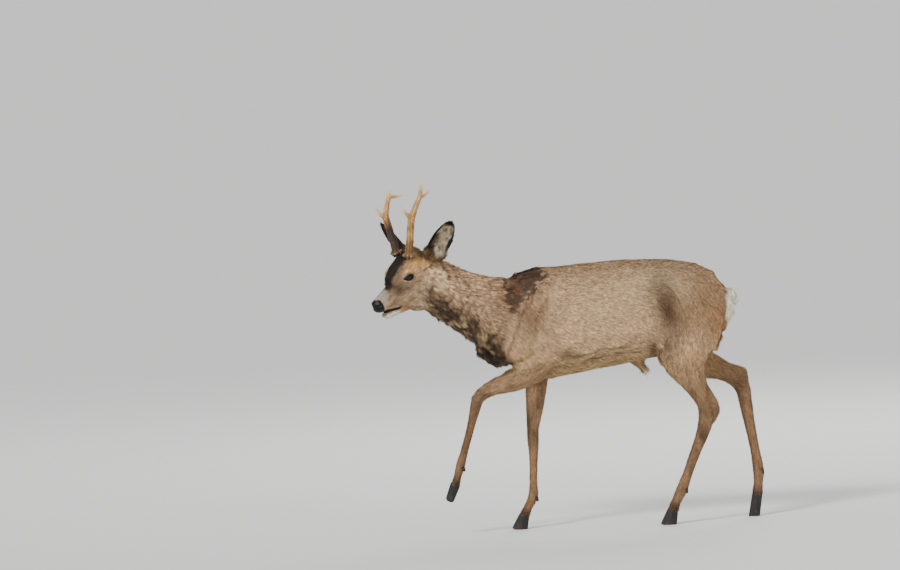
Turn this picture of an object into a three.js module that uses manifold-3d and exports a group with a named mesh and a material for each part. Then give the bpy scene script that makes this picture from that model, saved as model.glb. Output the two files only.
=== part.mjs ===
// A roe deer buck, life-size, walking with its left forefoot lifted and its head turned to its left.
// Millimetres, +Z up. The deer faces -X, its left side faces -Y, and its hooves stand on Z = 0.
import * as THREE from "three";
import { mergeVertices } from "three/addons/utils/BufferGeometryUtils.js";
import Module from "manifold-3d";

const wasm = await Module();
wasm.setup();

// ---- Driving dimensions -------------------------------------------------------------------------
const CUT = 0.35; // gap left between neighbouring pieces
const FACET = 0.26; // detail smaller than this is merged into its neighbours
const EYE_CENTRE = [-486, -104, 689]; // midway between the two eyes
const HEAD_YAW = 40; // degrees, towards the deer's left
const HEAD_PITCH = 26; // degrees, nose down
const HEAD_ROLL = -5; // degrees, about the face's own axis
const EYEBALL_RADIUS = 14.5;
const EYE_SPACING = 31; // eyeball centre from the middle of the head
const BURR_RADIUS = 17; // the knobbly ring at an antler's foot
const HOOF_GAP = 2.2; // cleft between the two claws of a foot
const TO_LEFT = new THREE.Vector3(0, -1, 0); // the deer's left
const TO_RIGHT = new THREE.Vector3(0, 1, 0);
const UP = new THREE.Vector3(0, 0, 1);
const CAP_ROWS = 2; // rows of faces that round off each end of a loft
const radians = THREE.MathUtils.degToRad;

// ---- Materials ----------------------------------------------------------------------------------
const finish = (color, roughness, metalness = 0) =>
  new THREE.MeshStandardMaterial({ color, roughness, metalness });
const COAT = finish(0x85705a, 0.9);
const FACE = finish(0x7a6650, 0.9);
const EAR = finish(0x5a4a3c, 0.9);
const SHANK = finish(0x7b5f4c, 0.85);
const RUMP = finish(0xe9e2d6, 0.9);
const ANTLER = finish(0xb98f63, 0.6);
const EYE = finish(0x120d0a, 0.1);
const HOOF = finish(0x1f1a17, 0.5);

// ---- Solids -------------------------------------------------------------------------------------
function solidOf(geometry) {
  const bare = new THREE.BufferGeometry();
  bare.setAttribute("position", geometry.getAttribute("position"));
  bare.setIndex(geometry.index);
  const merged = mergeVertices(bare, 1e-3);
  return new wasm.Manifold(
    new wasm.Mesh({
      numProp: 3,
      vertProperties: new Float32Array(merged.attributes.position.array),
      triVerts: new Uint32Array(merged.index.array),
    }),
  );
}

const join = (solids) => solids.reduce((whole, one) => whole.add(one));
const largest = (solid) =>
  solid.decompose().reduce((a, b) => (a.volume() > b.volume() ? a : b));

// One value of a loft's stations, smooth from station to station.
function sizesAlong(stations) {
  return new THREE.CatmullRomCurve3(
    stations.map((s) => new THREE.Vector3(s.front, s.back, s.side)),
  );
}

function shapesAlong(stations) {
  return new THREE.CatmullRomCurve3(
    stations.map(
      (s) => new THREE.Vector3(s.taper ?? 0, s.round ?? 1, s.shift ?? 0),
    ),
  );
}

// How far a muscle pushes a point of the skin out.
function swelling(point, swells) {
  return swells.reduce((sum, { at, reach, push }) => {
    const away = new THREE.Vector3(
      (point.x - at[0]) / reach[0],
      (point.y - at[1]) / reach[1],
      (point.z - at[2]) / reach[2],
    );
    return sum + push * Math.exp(-away.lengthSq());
  }, 0);
}

// A closed tube of flesh through its stations. Each station has a centre, its half-depths to the front
// (or top) and back (or bottom) and its half-width to the side. taper narrows it towards the front.
function loft(stations, options = {}) {
  const { around = 12, along = 12, grow = 0, swells = [] } = options;
  const { startCap = 0, endCap = 0, acrossAt = () => TO_LEFT } = options;
  const spine = new THREE.CatmullRomCurve3(
    stations.map((s) => new THREE.Vector3(...s.at)),
  );
  const sizes = sizesAlong(stations);
  const shapes = shapesAlong(stations);
  const rows = along + 2 * CAP_ROWS;
  const geometry = new THREE.SphereGeometry(1, around, rows);
  const points = geometry.getAttribute("position");

  for (let row = 0; row <= rows; row++) {
    const u = THREE.MathUtils.clamp((row - CAP_ROWS) / along, 0, 1);
    const centre = spine.getPoint(u);
    const ahead = spine.getTangent(u);
    const size = sizes.getPoint(u);
    const shape = shapes.getPoint(u);
    const across = acrossAt(u).clone();
    across.addScaledVector(ahead, -across.dot(ahead)).normalize();
    const front = new THREE.Vector3().crossVectors(across, ahead).normalize();

    // The end rows follow a quarter circle down to the middle.
    const fromStart = Math.min(row / CAP_ROWS, 1);
    const fromEnd = Math.min((rows - row) / CAP_ROWS, 1);
    const shrink = Math.sin((Math.min(fromStart, fromEnd) * Math.PI) / 2);
    const overhang =
      (endCap + grow) * Math.cos((fromEnd * Math.PI) / 2) -
      (startCap + grow) * Math.cos((fromStart * Math.PI) / 2);
    centre.addScaledVector(ahead, overhang);

    for (let column = 0; column <= around; column++) {
      const turn = ((column % around) / around) * 2 * Math.PI;
      const sideways =
        Math.sign(Math.cos(turn)) * Math.abs(Math.cos(turn)) ** shape.y;
      const depth = Math.sin(turn);
      const reach = depth > 0 ? size.x : size.y;
      const width = size.z * (1 - shape.x * depth) + grow;
      const point = centre
        .clone()
        .addScaledVector(across, sideways * width * shrink)
        .addScaledVector(front, depth * (reach + grow) * shrink)
        .addScaledVector(front, shape.z * (1 - Math.abs(depth)) * shrink);
      const out = point.clone().sub(centre).normalize();
      point.addScaledVector(out, swelling(point, swells) * shrink);
      points.setXYZ(row * (around + 1) + column, point.x, point.y, point.z);
    }
  }
  return solidOf(geometry);
}

// A thin plate that parts a solid in two, square to a direction.
function plate(at, direction, width = 400, height = 400) {
  const geometry = new THREE.BoxGeometry(width, height, CUT);
  const turn = new THREE.Quaternion().setFromUnitVectors(
    UP,
    new THREE.Vector3(...direction).normalize(),
  );
  geometry.applyQuaternion(turn).translate(...at);
  return solidOf(geometry);
}

// Cuts a solid by plates and gives the pieces in order along a direction.
function slice(solid, plates, direction) {
  const way = new THREE.Vector3(...direction);
  const place = (piece) => {
    const { min, max } = piece.boundingBox();
    return (
      way.x * (min[0] + max[0]) +
      way.y * (min[1] + max[1]) +
      way.z * (min[2] + max[2])
    );
  };
  return solid
    .subtract(join(plates))
    .decompose()
    .sort((a, b) => b.volume() - a.volume())
    .slice(0, plates.length + 1)
    .sort((a, b) => place(a) - place(b));
}

// Trims a piece where it is sunk into a body that has been grown by the usual gap.
const seat = (piece, grownBody) => largest(piece.subtract(grownBody));

// Limbs run down from the body, so their fronts face the deer's nose when across is its right.
const LIMB = { acrossAt: () => TO_RIGHT };
// A leg's station: its place, then its half-depths to the front and back and its half-width.
const joint = (x, y, z, front, back, side) => ({
  at: [x, y, z],
  front,
  back,
  side,
});

// ---- Trunk: chest, barrel and croup --------------------------------------------------------------
// A cross-section of the trunk or neck between its top and bottom lines.
const section = (x, y, top, bottom, side, taper = 0.15, round = 1) => ({
  at: [x, y, (top + bottom) / 2],
  front: (top - bottom) / 2,
  back: (top - bottom) / 2,
  side,
  taper,
  round,
});
const TRUNK_STATIONS = [
  section(-268, 0, 502, 420, 36, 0),
  section(-236, 0, 590, 408, 60, 0.1),
  section(-184, 0, 662, 392, 78, 0.3),
  section(-132, 0, 684, 389, 87, 0.36),
  section(-70, 0, 685, 397, 94, 0.28),
  section(10, 0, 689, 411, 101, 0.2),
  section(90, 0, 693, 421, 105, 0.12, 0.95),
  section(160, 0, 692, 432, 101, 0.1, 0.95),
  section(225, 0, 688, 452, 92, 0.08, 0.92),
  section(290, 0, 667, 464, 84, 0.08, 0.92),
  section(340, 0, 634, 486, 70, 0.06, 0.92),
  section(370, 0, 598, 528, 44, 0, 1),
];
const HIP_LEFT = { at: [275, -78, 640], reach: [34, 34, 30], push: 6 };
const HIP_RIGHT = { at: [275, 78, 640], reach: [34, 34, 30], push: 6 };
const FLANK_LEFT = { at: [205, -98, 560], reach: [34, 40, 62], push: -9 };
const FLANK_RIGHT = { at: [205, 98, 560], reach: [34, 40, 62], push: -9 };
const sheath = () =>
  loft([joint(104, 0, 428, 12, 12, 11), joint(132, 0, 412, 9, 9, 8)], {
    around: 8,
    along: 2,
    startCap: 8,
    endCap: 10,
  });
const trunkLoft = () =>
  loft(TRUNK_STATIONS, {
    around: 18,
    along: 14,
    startCap: 15,
    endCap: 10,
    swells: [HIP_LEFT, HIP_RIGHT, FLANK_LEFT, FLANK_RIGHT],
  }).add(sheath());

// ---- Neck ----------------------------------------------------------------------------------------
const NECK_STATIONS = [
  { at: [-150, 0, 540], front: 118, back: 128, side: 82, taper: 0.35 },
  { at: [-216, -3, 560], front: 108, back: 112, side: 74, taper: 0.3 },
  { at: [-268, -9, 582], front: 88, back: 92, side: 66, taper: 0.22 },
  { at: [-316, -20, 606], front: 76, back: 78, side: 59, taper: 0.14 },
  { at: [-362, -36, 634], front: 69, back: 75, side: 56, taper: 0.08 },
  { at: [-402, -56, 664], front: 60, back: 78, side: 53, taper: 0.05 },
  { at: [-432, -74, 682], front: 48, back: 70, side: 46, taper: 0.05 },
];
const neckSpine = new THREE.CatmullRomCurve3(
  NECK_STATIONS.map((s) => new THREE.Vector3(...s.at)),
);
const neckLoft = () =>
  loft(NECK_STATIONS, {
    around: 16,
    along: 7,
    acrossAt: (u) =>
      new THREE.Vector3().crossVectors(neckSpine.getTangent(u), UP).normalize(),
    swells: [
      { at: [-330, -76, 560], reach: [90, 40, 26], push: 5 },
      { at: [-330, 40, 560], reach: [90, 40, 26], push: 5 },
    ],
  });

// ---- Head ----------------------------------------------------------------------------------------
// The head's own frame: x forward along the face, y to the deer's left, z up, from between the eyes.
const headPose = new THREE.Matrix4()
  .makeTranslation(...EYE_CENTRE)
  .multiply(
    new THREE.Matrix4().makeBasis(
      new THREE.Vector3(-1, 0, 0),
      new THREE.Vector3(0, -1, 0),
      UP,
    ),
  )
  .multiply(new THREE.Matrix4().makeRotationZ(radians(HEAD_YAW)))
  .multiply(new THREE.Matrix4().makeRotationY(radians(HEAD_PITCH)))
  .multiply(new THREE.Matrix4().makeRotationX(radians(HEAD_ROLL)));
const onHead = (x, y, z) =>
  new THREE.Vector3(x, y, z).applyMatrix4(headPose).toArray();
const headWay = (x, y, z) =>
  new THREE.Vector3(x, y, z).transformDirection(headPose).toArray();
const posed = (solid) => solid.transform(headPose.elements);

// A cross-section of the head between its top and bottom lines, across the face.
const slab = (x, top, bottom, side, taper = 0, round = 1) => ({
  at: [x, 0, (top + bottom) / 2],
  front: (top - bottom) / 2,
  back: (top - bottom) / 2,
  side,
  taper,
  round,
});
const SKULL_STATIONS = [
  slab(-112, 14, -78, 36, 0),
  slab(-92, 36, -116, 45, 0.05),
  slab(-64, 46, -129, 48, 0.1, 0.9),
  slab(-38, 47, -125, 47, 0.06, 0.85),
  slab(-14, 43, -114, 43, 0.04, 0.82),
  slab(8, 35, -104, 38, 0.1, 0.85),
  slab(28, 22, -97, 32, 0.24),
  slab(46, 8, -90, 27, 0.32),
  slab(62, -2, -72, 24, 0.34),
  slab(78, -8, -61, 22, 0.3),
  slab(93, -11, -57, 20.5, 0.2),
  slab(104, -15, -54, 18.5, 0.06),
  slab(112, -20, -49, 13, 0),
];
const mirrored = (at, reach, push) =>
  [1, -1].map((hand) => ({ at: [at[0], hand * at[1], at[2]], reach, push }));
const SKULL_SWELLS = [
  ...mirrored([2, 38, 13], [18, 14, 10], 7), // brow over the eye
  ...mirrored([-4, 42, -24], [26, 16, 12], 4), // cheek bone
  ...mirrored([-46, 42, -66], [30, 20, 32], 7), // jaw muscle
  ...mirrored([24, 32, 4], [12, 12, 10], -3), // hollow before the eye
  ...mirrored([-36, 24, 40], [14, 12, 16], 4), // pedicle under each antler
  ...mirrored([102, 17, -28], [9, 9, 9], 2.5), // rim of the nostril
];
const skullLoft = (grow) =>
  loft(SKULL_STATIONS, {
    grow,
    around: 17,
    along: 17,
    startCap: 12,
    endCap: 4,
    swells: SKULL_SWELLS,
  });
const JAW_STATIONS = [
  slab(10, -56, -97, 28, 0.1),
  slab(36, -59, -92, 23, 0.1),
  slab(58, -62, -89, 19, 0.05, 0.9),
  slab(76, -62, -86, 17, 0, 0.88),
  slab(89, -61, -80, 15, 0, 0.9),
  slab(96, -62, -74, 9, 0, 1),
];
const jawLoft = () =>
  loft(JAW_STATIONS, {
    around: 10,
    along: 5,
    startCap: 6,
    endCap: 3,
  });
const MOUTH_CORNER = 56; // how far forward of the eyes the lips meet
const MOUTH_LEVEL = -63;
// The open mouth: a wedge that widens forward from the corner of the lips.
function mouthGap() {
  const outline = new THREE.Shape();
  outline.moveTo(MOUTH_CORNER, MOUTH_LEVEL - CUT / 2);
  outline.lineTo(MOUTH_CORNER + 70, MOUTH_LEVEL - 1);
  outline.lineTo(MOUTH_CORNER + 70, MOUTH_LEVEL + 9);
  outline.lineTo(MOUTH_CORNER, MOUTH_LEVEL + CUT / 2);
  const geometry = new THREE.ExtrudeGeometry(outline, {
    depth: 90,
    bevelEnabled: false,
  });
  geometry.translate(0, 0, -45).rotateX(Math.PI / 2);
  return solidOf(geometry);
}
// The cut behind the lower lip, down from the mouth's corner.
function jawCut() {
  const geometry = new THREE.BoxGeometry(CUT, 90, 60);
  geometry.translate(MOUTH_CORNER + CUT / 2, 0, MOUTH_LEVEL - 30);
  return solidOf(geometry);
}

function eyeball(hand, grow = 0) {
  const geometry = new THREE.SphereGeometry(EYEBALL_RADIUS + grow, 10, 8);
  geometry.translate(2, hand * EYE_SPACING, -1);
  return posed(solidOf(geometry));
}

// ---- Ears ----------------------------------------------------------------------------------------
// A cupped leaf: across runs from rim to rim, and its back bulges away from the opening.
const EAR_WIDTH = new THREE.SplineCurve([
  new THREE.Vector2(0, 33),
  new THREE.Vector2(0.2, 30),
  new THREE.Vector2(0.45, 30),
  new THREE.Vector2(0.65, 29),
  new THREE.Vector2(0.85, 21),
  new THREE.Vector2(1, 8),
]);
function earLoft({ root, tip, opening }) {
  const from = new THREE.Vector3(...root);
  const axis = new THREE.Vector3(...tip).sub(from);
  const length = axis.length();
  axis.normalize();
  const open = new THREE.Vector3(...opening);
  open.addScaledVector(axis, -open.dot(axis)).normalize();
  const across = new THREE.Vector3().crossVectors(axis, open).normalize();
  const around = 12;
  const rows = 9;
  const geometry = new THREE.SphereGeometry(1, around, rows);
  const points = geometry.getAttribute("position");
  for (let row = 0; row <= rows; row++) {
    const u = row / rows;
    const ends = Math.min(1, Math.sin(Math.PI * Math.min(u * 6, 0.5)));
    const tipTuck = Math.min(1, Math.sqrt((1 - u) * 9));
    const half = EAR_WIDTH.getPoint(u).y * ends * tipTuck;
    const cup = 17 * Math.sin(Math.PI * Math.min(1, u * 0.8 + 0.2)) * tipTuck * ends;
    const thick = THREE.MathUtils.lerp(4.2, 17, Math.max(0, 1 - u * 3.2) ** 1.5);
    for (let column = 0; column <= around; column++) {
      const turn = ((column % around) / around) * 2 * Math.PI;
      const rim = Math.cos(turn);
      const face = Math.sin(turn);
      const wall = Math.sign(face) * Math.sqrt(Math.abs(face)) * thick * ends;
      const point = from
        .clone()
        .addScaledVector(axis, u * length)
        .addScaledVector(across, rim * half)
        .addScaledVector(open, wall * tipTuck - cup * (1 - rim * rim) + cup * 0.5);
      points.setXYZ(row * (around + 1) + column, point.x, point.y, point.z);
    }
  }
  return solidOf(geometry);
}
const LEFT_EAR = {
  root: onHead(-82, 36, 0),
  tip: onHead(-133, 119, 100),
  opening: [0.3, -0.95, 0.05],
};
const RIGHT_EAR = {
  root: onHead(-74, -36, 4),
  tip: onHead(-88, -117, 96),
  opening: headWay(0.55, -0.75, -0.2),
};
// The gristly bulb that an ear grows out of, filling the foot of its cup.
function earBulb({ root, tip, opening }) {
  const from = new THREE.Vector3(...root);
  const axis = new THREE.Vector3(...tip).sub(from);
  const centre = from.clone().addScaledVector(axis, 0.1);
  const open = new THREE.Vector3(...opening);
  open.addScaledVector(axis, -open.dot(axis) / axis.lengthSq()).normalize();
  axis.normalize();
  const across = new THREE.Vector3().crossVectors(axis, open);
  const geometry = new THREE.SphereGeometry(1, 8, 5);
  geometry.scale(31, 34, 22);
  geometry.applyMatrix4(new THREE.Matrix4().makeBasis(across, axis, open));
  geometry.translate(centre.x, centre.y, centre.z);
  return solidOf(geometry);
}
const EAR_CUT_AT = 0.16; // share of the ear's length that stays with the head
function earCut({ root, tip }) {
  const from = new THREE.Vector3(...root);
  const axis = new THREE.Vector3(...tip).sub(from);
  const at = from.clone().addScaledVector(axis, EAR_CUT_AT);
  const geometry = new THREE.CylinderGeometry(38, 38, CUT, 12);
  geometry.applyQuaternion(new THREE.Quaternion().setFromUnitVectors(
    new THREE.Vector3(0, 1, 0),
    axis.normalize(),
  ));
  geometry.translate(at.x, at.y, at.z);
  return solidOf(geometry);
}

// ---- Tail: a stub in the rump patch --------------------------------------------------------------
const tailLoft = () =>
  loft(
    [
      joint(366, 0, 600, 9, 9, 13),
      joint(381, 0, 586, 7, 7, 11),
      joint(386, 0, 566, 5, 5, 8),
    ],
    { ...LIMB, around: 8, along: 3, startCap: 4, endCap: 5 },
  );

// ---- Forelegs ------------------------------------------------------------------------------------
const shoulder = (hand, grow) =>
  loft(
    [
      joint(-108, hand * 40, 634, 26, 30, 20),
      joint(-132, hand * 54, 590, 42, 46, 28),
      joint(-166, hand * 62, 535, 46, 50, 32),
      joint(-190, hand * 64, 488, 40, 48, 32),
      joint(-192, hand * 63, 458, 32, 44, 29),
    ],
    { ...LIMB, around: 10, along: 5, startCap: 16, endCap: 16, grow },
  );
const LEFT_FORE_ARM = [
  joint(-112, -58, 436, 38, 32, 27),
  joint(-150, -64, 418, 46, 34, 30),
  joint(-190, -69, 402, 40, 33, 27),
  joint(-228, -72, 391, 28, 28, 22),
  joint(-258, -74, 382, 22.5, 23, 19),
  joint(-282, -75, 371, 18.5, 20, 17),
  joint(-299, -76, 355, 18.5, 17, 17),
  joint(-308, -76, 332, 15, 15, 14.5),
  joint(-319, -75, 294, 11.5, 12, 11),
  joint(-332, -74, 252, 10.5, 11, 10),
  joint(-345, -72, 212, 11, 11.5, 10.5),
  joint(-355, -71, 182, 13.5, 14.5, 13),
  joint(-362, -70, 160, 11, 12, 12),
  joint(-369, -70, 138, 13, 13.5, 15),
];
const RIGHT_FORE_ARM = [
  joint(-132, 62, 436, 40, 34, 29),
  joint(-141, 60, 402, 36, 31, 27),
  joint(-147, 57, 367, 29.5, 30, 23),
  joint(-152, 54, 318, 25, 24.5, 19.5),
  joint(-158, 50, 281, 20, 20, 17.5),
  joint(-161, 47, 254, 16.5, 16, 16.5),
  joint(-161, 45, 236, 17.5, 16, 17.5),
  joint(-162, 43, 212, 14, 14.5, 14.5),
  joint(-164, 39, 168, 11, 11.5, 10.5),
  joint(-167, 34, 122, 10.5, 11.5, 10.5),
  joint(-170, 30, 84, 13.5, 15, 13),
  joint(-182, 28, 60, 11.5, 12, 12.5),
  joint(-193, 27, 40, 14, 14, 16),
];

// ---- Hindlegs ------------------------------------------------------------------------------------
const LEFT_THIGH = [
  joint(296, -44, 622, 62, 62, 34),
  joint(279, -52, 560, 88, 84, 44),
  joint(256, -58, 500, 92, 88, 46),
  joint(240, -62, 452, 80, 78, 42),
  joint(247, -66, 410, 56, 54, 36),
  joint(262, -66, 372, 36, 36, 29),
  joint(276, -66, 340, 27, 27, 22.5),
  joint(286, -66, 314, 22, 26, 19),
  joint(290, -66, 291, 21.5, 28, 18.5),
  joint(287, -66, 266, 19.5, 23, 17),
  joint(277, -65, 234, 16.5, 18, 14.5),
  joint(263, -64, 202, 14, 16, 13),
  joint(247, -62, 164, 13, 14.5, 12),
  joint(230, -61, 122, 12.5, 14, 12),
  joint(216, -60, 90, 15, 16.5, 14),
  joint(203, -60, 64, 12.5, 13, 13.5),
  joint(193, -60, 43, 14.5, 14.5, 16.5),
];
const LEFT_HEEL = [
  joint(280, -66, 378, 8, 8, 9),
  joint(298, -66, 344, 7, 9, 9),
  joint(314, -66, 312, 9, 10, 10.5),
  joint(317, -66, 292, 11, 11, 11),
  joint(305, -66, 268, 11, 10, 11),
];
const RIGHT_THIGH = [
  joint(296, 44, 622, 62, 62, 34),
  joint(274, 52, 560, 84, 88, 44),
  joint(248, 58, 505, 82, 92, 46),
  joint(230, 62, 462, 62, 84, 42),
];
const RIGHT_SHANK = [
  joint(222, 62, 448, 52, 44, 36),
  joint(262, 62, 424, 52, 48, 36),
  joint(300, 62, 404, 42, 38, 31),
  joint(334, 62, 388, 30, 30, 25),
  joint(362, 62, 372, 25, 25, 21),
  joint(384, 62, 352, 24, 23, 19),
  joint(393, 62, 328, 20.5, 21, 17.5),
  joint(396, 62, 302, 18, 18, 15.5),
  joint(401, 61, 264, 16, 16.5, 13.5),
  joint(408, 60, 220, 14, 14.5, 12.5),
  joint(415, 59, 170, 12.5, 13.5, 12),
  joint(421, 58, 122, 15.5, 16, 14),
  joint(420, 58, 92, 12.5, 13, 13.5),
  joint(416, 58, 62, 14.5, 14.5, 16.5),
];
const RIGHT_HEEL = [
  joint(340, 62, 402, 9, 8, 9),
  joint(372, 62, 393, 8, 8, 9),
  joint(394, 62, 382, 10, 11, 11),
  joint(398, 62, 362, 11, 11, 11),
  joint(396, 62, 338, 10, 10, 11),
];
const heel = (stations, grow) =>
  loft(stations, { ...LIMB, around: 7, along: 4, startCap: 6, endCap: 6, grow });

// Each leg whole, from the shoulder or hip to the coronet at the top of the hooves.
const LEG_ROWS = { ...LIMB, around: 9, startCap: 10, endCap: 0 };
const wholeLegs = {
  foreleg_left: (grow) =>
    loft(LEFT_FORE_ARM, { ...LEG_ROWS, along: 17, grow }).add(
      shoulder(-1, grow),
    ),
  foreleg_right: (grow) =>
    loft(RIGHT_FORE_ARM, { ...LEG_ROWS, along: 16, grow }).add(
      shoulder(1, grow),
    ),
  hindleg_left: (grow) =>
    loft(LEFT_THIGH, { ...LEG_ROWS, along: 20, startCap: 20, grow }).add(
      heel(LEFT_HEEL, grow),
    ),
  hindleg_right: (grow) =>
    join([
      loft(RIGHT_THIGH, { ...LEG_ROWS, along: 5, startCap: 20, endCap: 24, grow }),
      loft(RIGHT_SHANK, { ...LEG_ROWS, along: 17, startCap: 24, grow }),
      heel(RIGHT_HEEL, grow),
    ]),
};

// Where each leg is parted: at the knee or hock, and at the fetlock.
const LEG_CUTS = {
  foreleg_left: [
    { at: [-299, -76, 356], along: [-0.62, 0, -0.78] },
    { at: [-352, -71, 191], along: [-0.3, 0, -0.95] },
  ],
  foreleg_right: [
    { at: [-161, 46, 246], along: [0, 0, -1] },
    { at: [-169, 31, 94], along: [-0.1, -0.1, -1] },
  ],
  hindleg_left: [
    { at: [290, -66, 300], along: [0.05, 0, -1] },
    { at: [220, -60, 99], along: [-0.4, 0, -0.92] },
  ],
  hindleg_right: [
    { at: [386, 62, 348], along: [0.62, 0, -0.78] },
    { at: [420, 58, 133], along: [0.1, 0, -1] },
  ],
};
const LEG_PARTS = ["upper", "cannon", "pastern"];

// ---- Hooves and dewclaws -------------------------------------------------------------------------
// A foot stands from its coronet down to its sole or, lifted or pushing off, to its toe tip.
const FEET = {
  foreleg_left: { top: [-369.7, -70, 135.9], tip: [-385, -70, 95], toe: 13, heel: 10, sole: 0.72, endCap: 6 },
  foreleg_right: { top: [-194.2, 27, 37.9], tip: [-207, 27, -3], toe: 23, heel: 19, sole: 1.1, endCap: 1 },
  hindleg_left: { top: [191.8, -60, 40.9], tip: [179, -60, -3], toe: 23, heel: 20, sole: 1.1, endCap: 1 },
  hindleg_right: { top: [415.5, 58, 59.8], tip: [406, 58, -3], toe: 17, heel: 13, sole: 0.85, endCap: 1 },
};
const CLAW_HALF_WIDTH = 7.6;
function claw({ top, tip, toe, heel: back, sole, endCap }, hand) {
  const off = hand * (CLAW_HALF_WIDTH + HOOF_GAP / 2);
  const level = (share, front, rear, wide) => ({
    at: [
      THREE.MathUtils.lerp(top[0], tip[0], share),
      top[1] + off,
      THREE.MathUtils.lerp(top[2], tip[2], share),
    ],
    front,
    back: rear,
    side: wide,
    round: 0.85,
  });
  return loft(
    [
      level(0, 13.5, 14, CLAW_HALF_WIDTH),
      level(0.5, (13.5 + toe) / 2, (14 + back) / 2, CLAW_HALF_WIDTH),
      level(1, toe, back, CLAW_HALF_WIDTH * Math.min(sole, 1)),
    ],
    { ...LIMB, around: 8, along: 1, endCap },
  );
}
const DEWCLAWS = {
  foreleg_left: { at: [-345, -71, 174], way: [0.4, 0, -0.92] },
  foreleg_right: { at: [-158, 30, 77], way: [0.35, 0, -0.94] },
  hindleg_left: { at: [231, -60, 86], way: [0.2, 0, -0.98] },
  hindleg_right: { at: [434, 58, 117], way: [0.32, 0, -0.95] },
};
function dewclaw({ at, way }, hand) {
  const [x, y, z] = at;
  const off = hand * 8;
  return loft(
    [
      joint(x - way[0] * 6, y + off, z - way[2] * 6, 6, 6, 5),
      joint(x + way[0] * 8, y + off, z + way[2] * 8, 4.5, 4.5, 4),
    ],
    { ...LIMB, around: 5, along: 1, endCap: 5 },
  );
}

// ---- Antlers -------------------------------------------------------------------------------------
// Points in the head's frame for one side: beam and tines, with the beam's radius at each point.
const node = (x, y, z, radius) => ({ x, y, z, radius });
const ANTLERS = {
  left: {
    lower_beam: [
      node(-33, 25, 35, 12),
      node(-34, 25.5, 44, 11.5),
      node(-42, 30, 68, 10.5),
      node(-50, 36, 92, 10),
      node(-60, 42, 119, 10),
      node(-68, 46, 138, 10),
    ],
    upper_beam: [
      node(-68, 46, 138, 9.4),
      node(-82, 50, 153, 8),
      node(-97, 53, 167, 7.2),
      node(-112, 56, 180, 6.6),
      node(-120, 58, 197, 4.4),
      node(-129, 60, 214, 1.8),
    ],
    front_tine: [
      node(-66, 46, 136, 7.6),
      node(-58, 47, 151, 6.2),
      node(-51, 47, 165, 4.2),
      node(-47, 46, 181, 1.6),
    ],
    rear_tine: [
      node(-107, 55, 175, 5.6),
      node(-122, 55, 172, 4.6),
      node(-134, 54, 170.5, 3),
      node(-144, 53, 172, 1.4),
    ],
  },
  right: {
    lower_beam: [
      node(-33, -24, 36, 12),
      node(-34, -24.5, 45, 11.5),
      node(-42, -31, 68, 10.5),
      node(-48, -37, 90, 10),
      node(-54, -43, 115, 10),
      node(-58, -46, 134, 10),
    ],
    upper_beam: [
      node(-58, -46, 134, 9.4),
      node(-71, -50, 148, 8.2),
      node(-85, -53, 161, 7.4),
      node(-99, -56, 172, 6.8),
      node(-104, -59, 182, 4.6),
      node(-107, -61, 193, 1.8),
    ],
    front_tine: [
      node(-57, -46, 132, 7.4),
      node(-50, -47, 145, 6),
      node(-44, -47, 158, 4),
      node(-39, -46, 172, 1.6),
    ],
    rear_tine: [
      node(-96, -56, 170, 5.8),
      node(-113, -56, 164, 4.8),
      node(-127, -55, 156, 3),
      node(-140, -54, 153, 1.4),
    ],
  },
};
const branch = (nodes, around, along, grow = 0) =>
  loft(
    nodes.map(({ x, y, z, radius }) => ({
      at: [x, y, z],
      front: radius,
      back: radius,
      side: radius * 0.92,
    })),
    { around, along, grow, endCap: 2, acrossAt: () => new THREE.Vector3(1, 0, 0) },
  );
// The burr: a flattened ring round the beam's foot.
function burr([foot, next]) {
  const profile = [
    [0, -4], [BURR_RADIUS * 0.75, -4], [BURR_RADIUS, 0], [BURR_RADIUS * 0.86, 4], [0, 5],
  ].map(([x, y]) => new THREE.Vector2(x, y));
  const geometry = new THREE.LatheGeometry(profile, 10);
  const axis = new THREE.Vector3(
    next.x - foot.x,
    next.y - foot.y,
    next.z - foot.z,
  ).normalize();
  geometry.applyQuaternion(
    new THREE.Quaternion().setFromUnitVectors(new THREE.Vector3(0, 1, 0), axis),
  );
  geometry.translate(next.x, next.y, next.z);
  return solidOf(geometry);
}

// ---- Putting the deer together -------------------------------------------------------------------
const deer = new THREE.Group();
const addNode = (name, solid, material) => {
  const { vertProperties, triVerts, numProp, numVert } = solid
    .simplify(FACET)
    .getMesh();
  const positions = new Float32Array(numVert * 3);
  for (let i = 0; i < numVert; i++) {
    positions.set(vertProperties.subarray(i * numProp, i * numProp + 3), i * 3);
  }
  const geometry = new THREE.BufferGeometry();
  geometry.setAttribute("position", new THREE.BufferAttribute(positions, 3));
  geometry.setIndex(new THREE.BufferAttribute(triVerts, 1));
  geometry.computeVertexNormals();
  const mesh = new THREE.Mesh(geometry, material);
  mesh.name = name;
  deer.add(mesh);
};

// Everything under the floor is trimmed, which gives the standing hooves their flats.
const underFloor = solidOf(
  new THREE.BoxGeometry(1600, 600, 100).translate(0, 0, -50),
);

// Legs, parted at knee or hock and fetlock, with their hooves and dewclaws.
for (const [leg, whole] of Object.entries(wholeLegs)) {
  const limb = whole(0);
  const grownLimb = whole(CUT);
  const cuts = LEG_CUTS[leg].map(({ at, along }) => plate(at, along, 130, 130));
  const pieces = slice(limb, cuts, [0, 0, -1]);
  pieces.forEach((piece, i) =>
    addNode(`${leg}_${LEG_PARTS[i]}`, piece, i ? SHANK : COAT),
  );
  const outwards = Math.sign(FEET[leg].top[1]);
  for (const [side, hand] of [["outer", outwards], ["inner", -outwards]]) {
    const hoof = seat(claw(FEET[leg], hand), grownLimb).subtract(underFloor);
    addNode(`hoof_${leg}_${side}`, hoof, HOOF);
    const spur = seat(dewclaw(DEWCLAWS[leg], hand), grownLimb);
    addNode(`dewclaw_${leg}_${side}`, spur, HOOF);
  }
}

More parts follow.
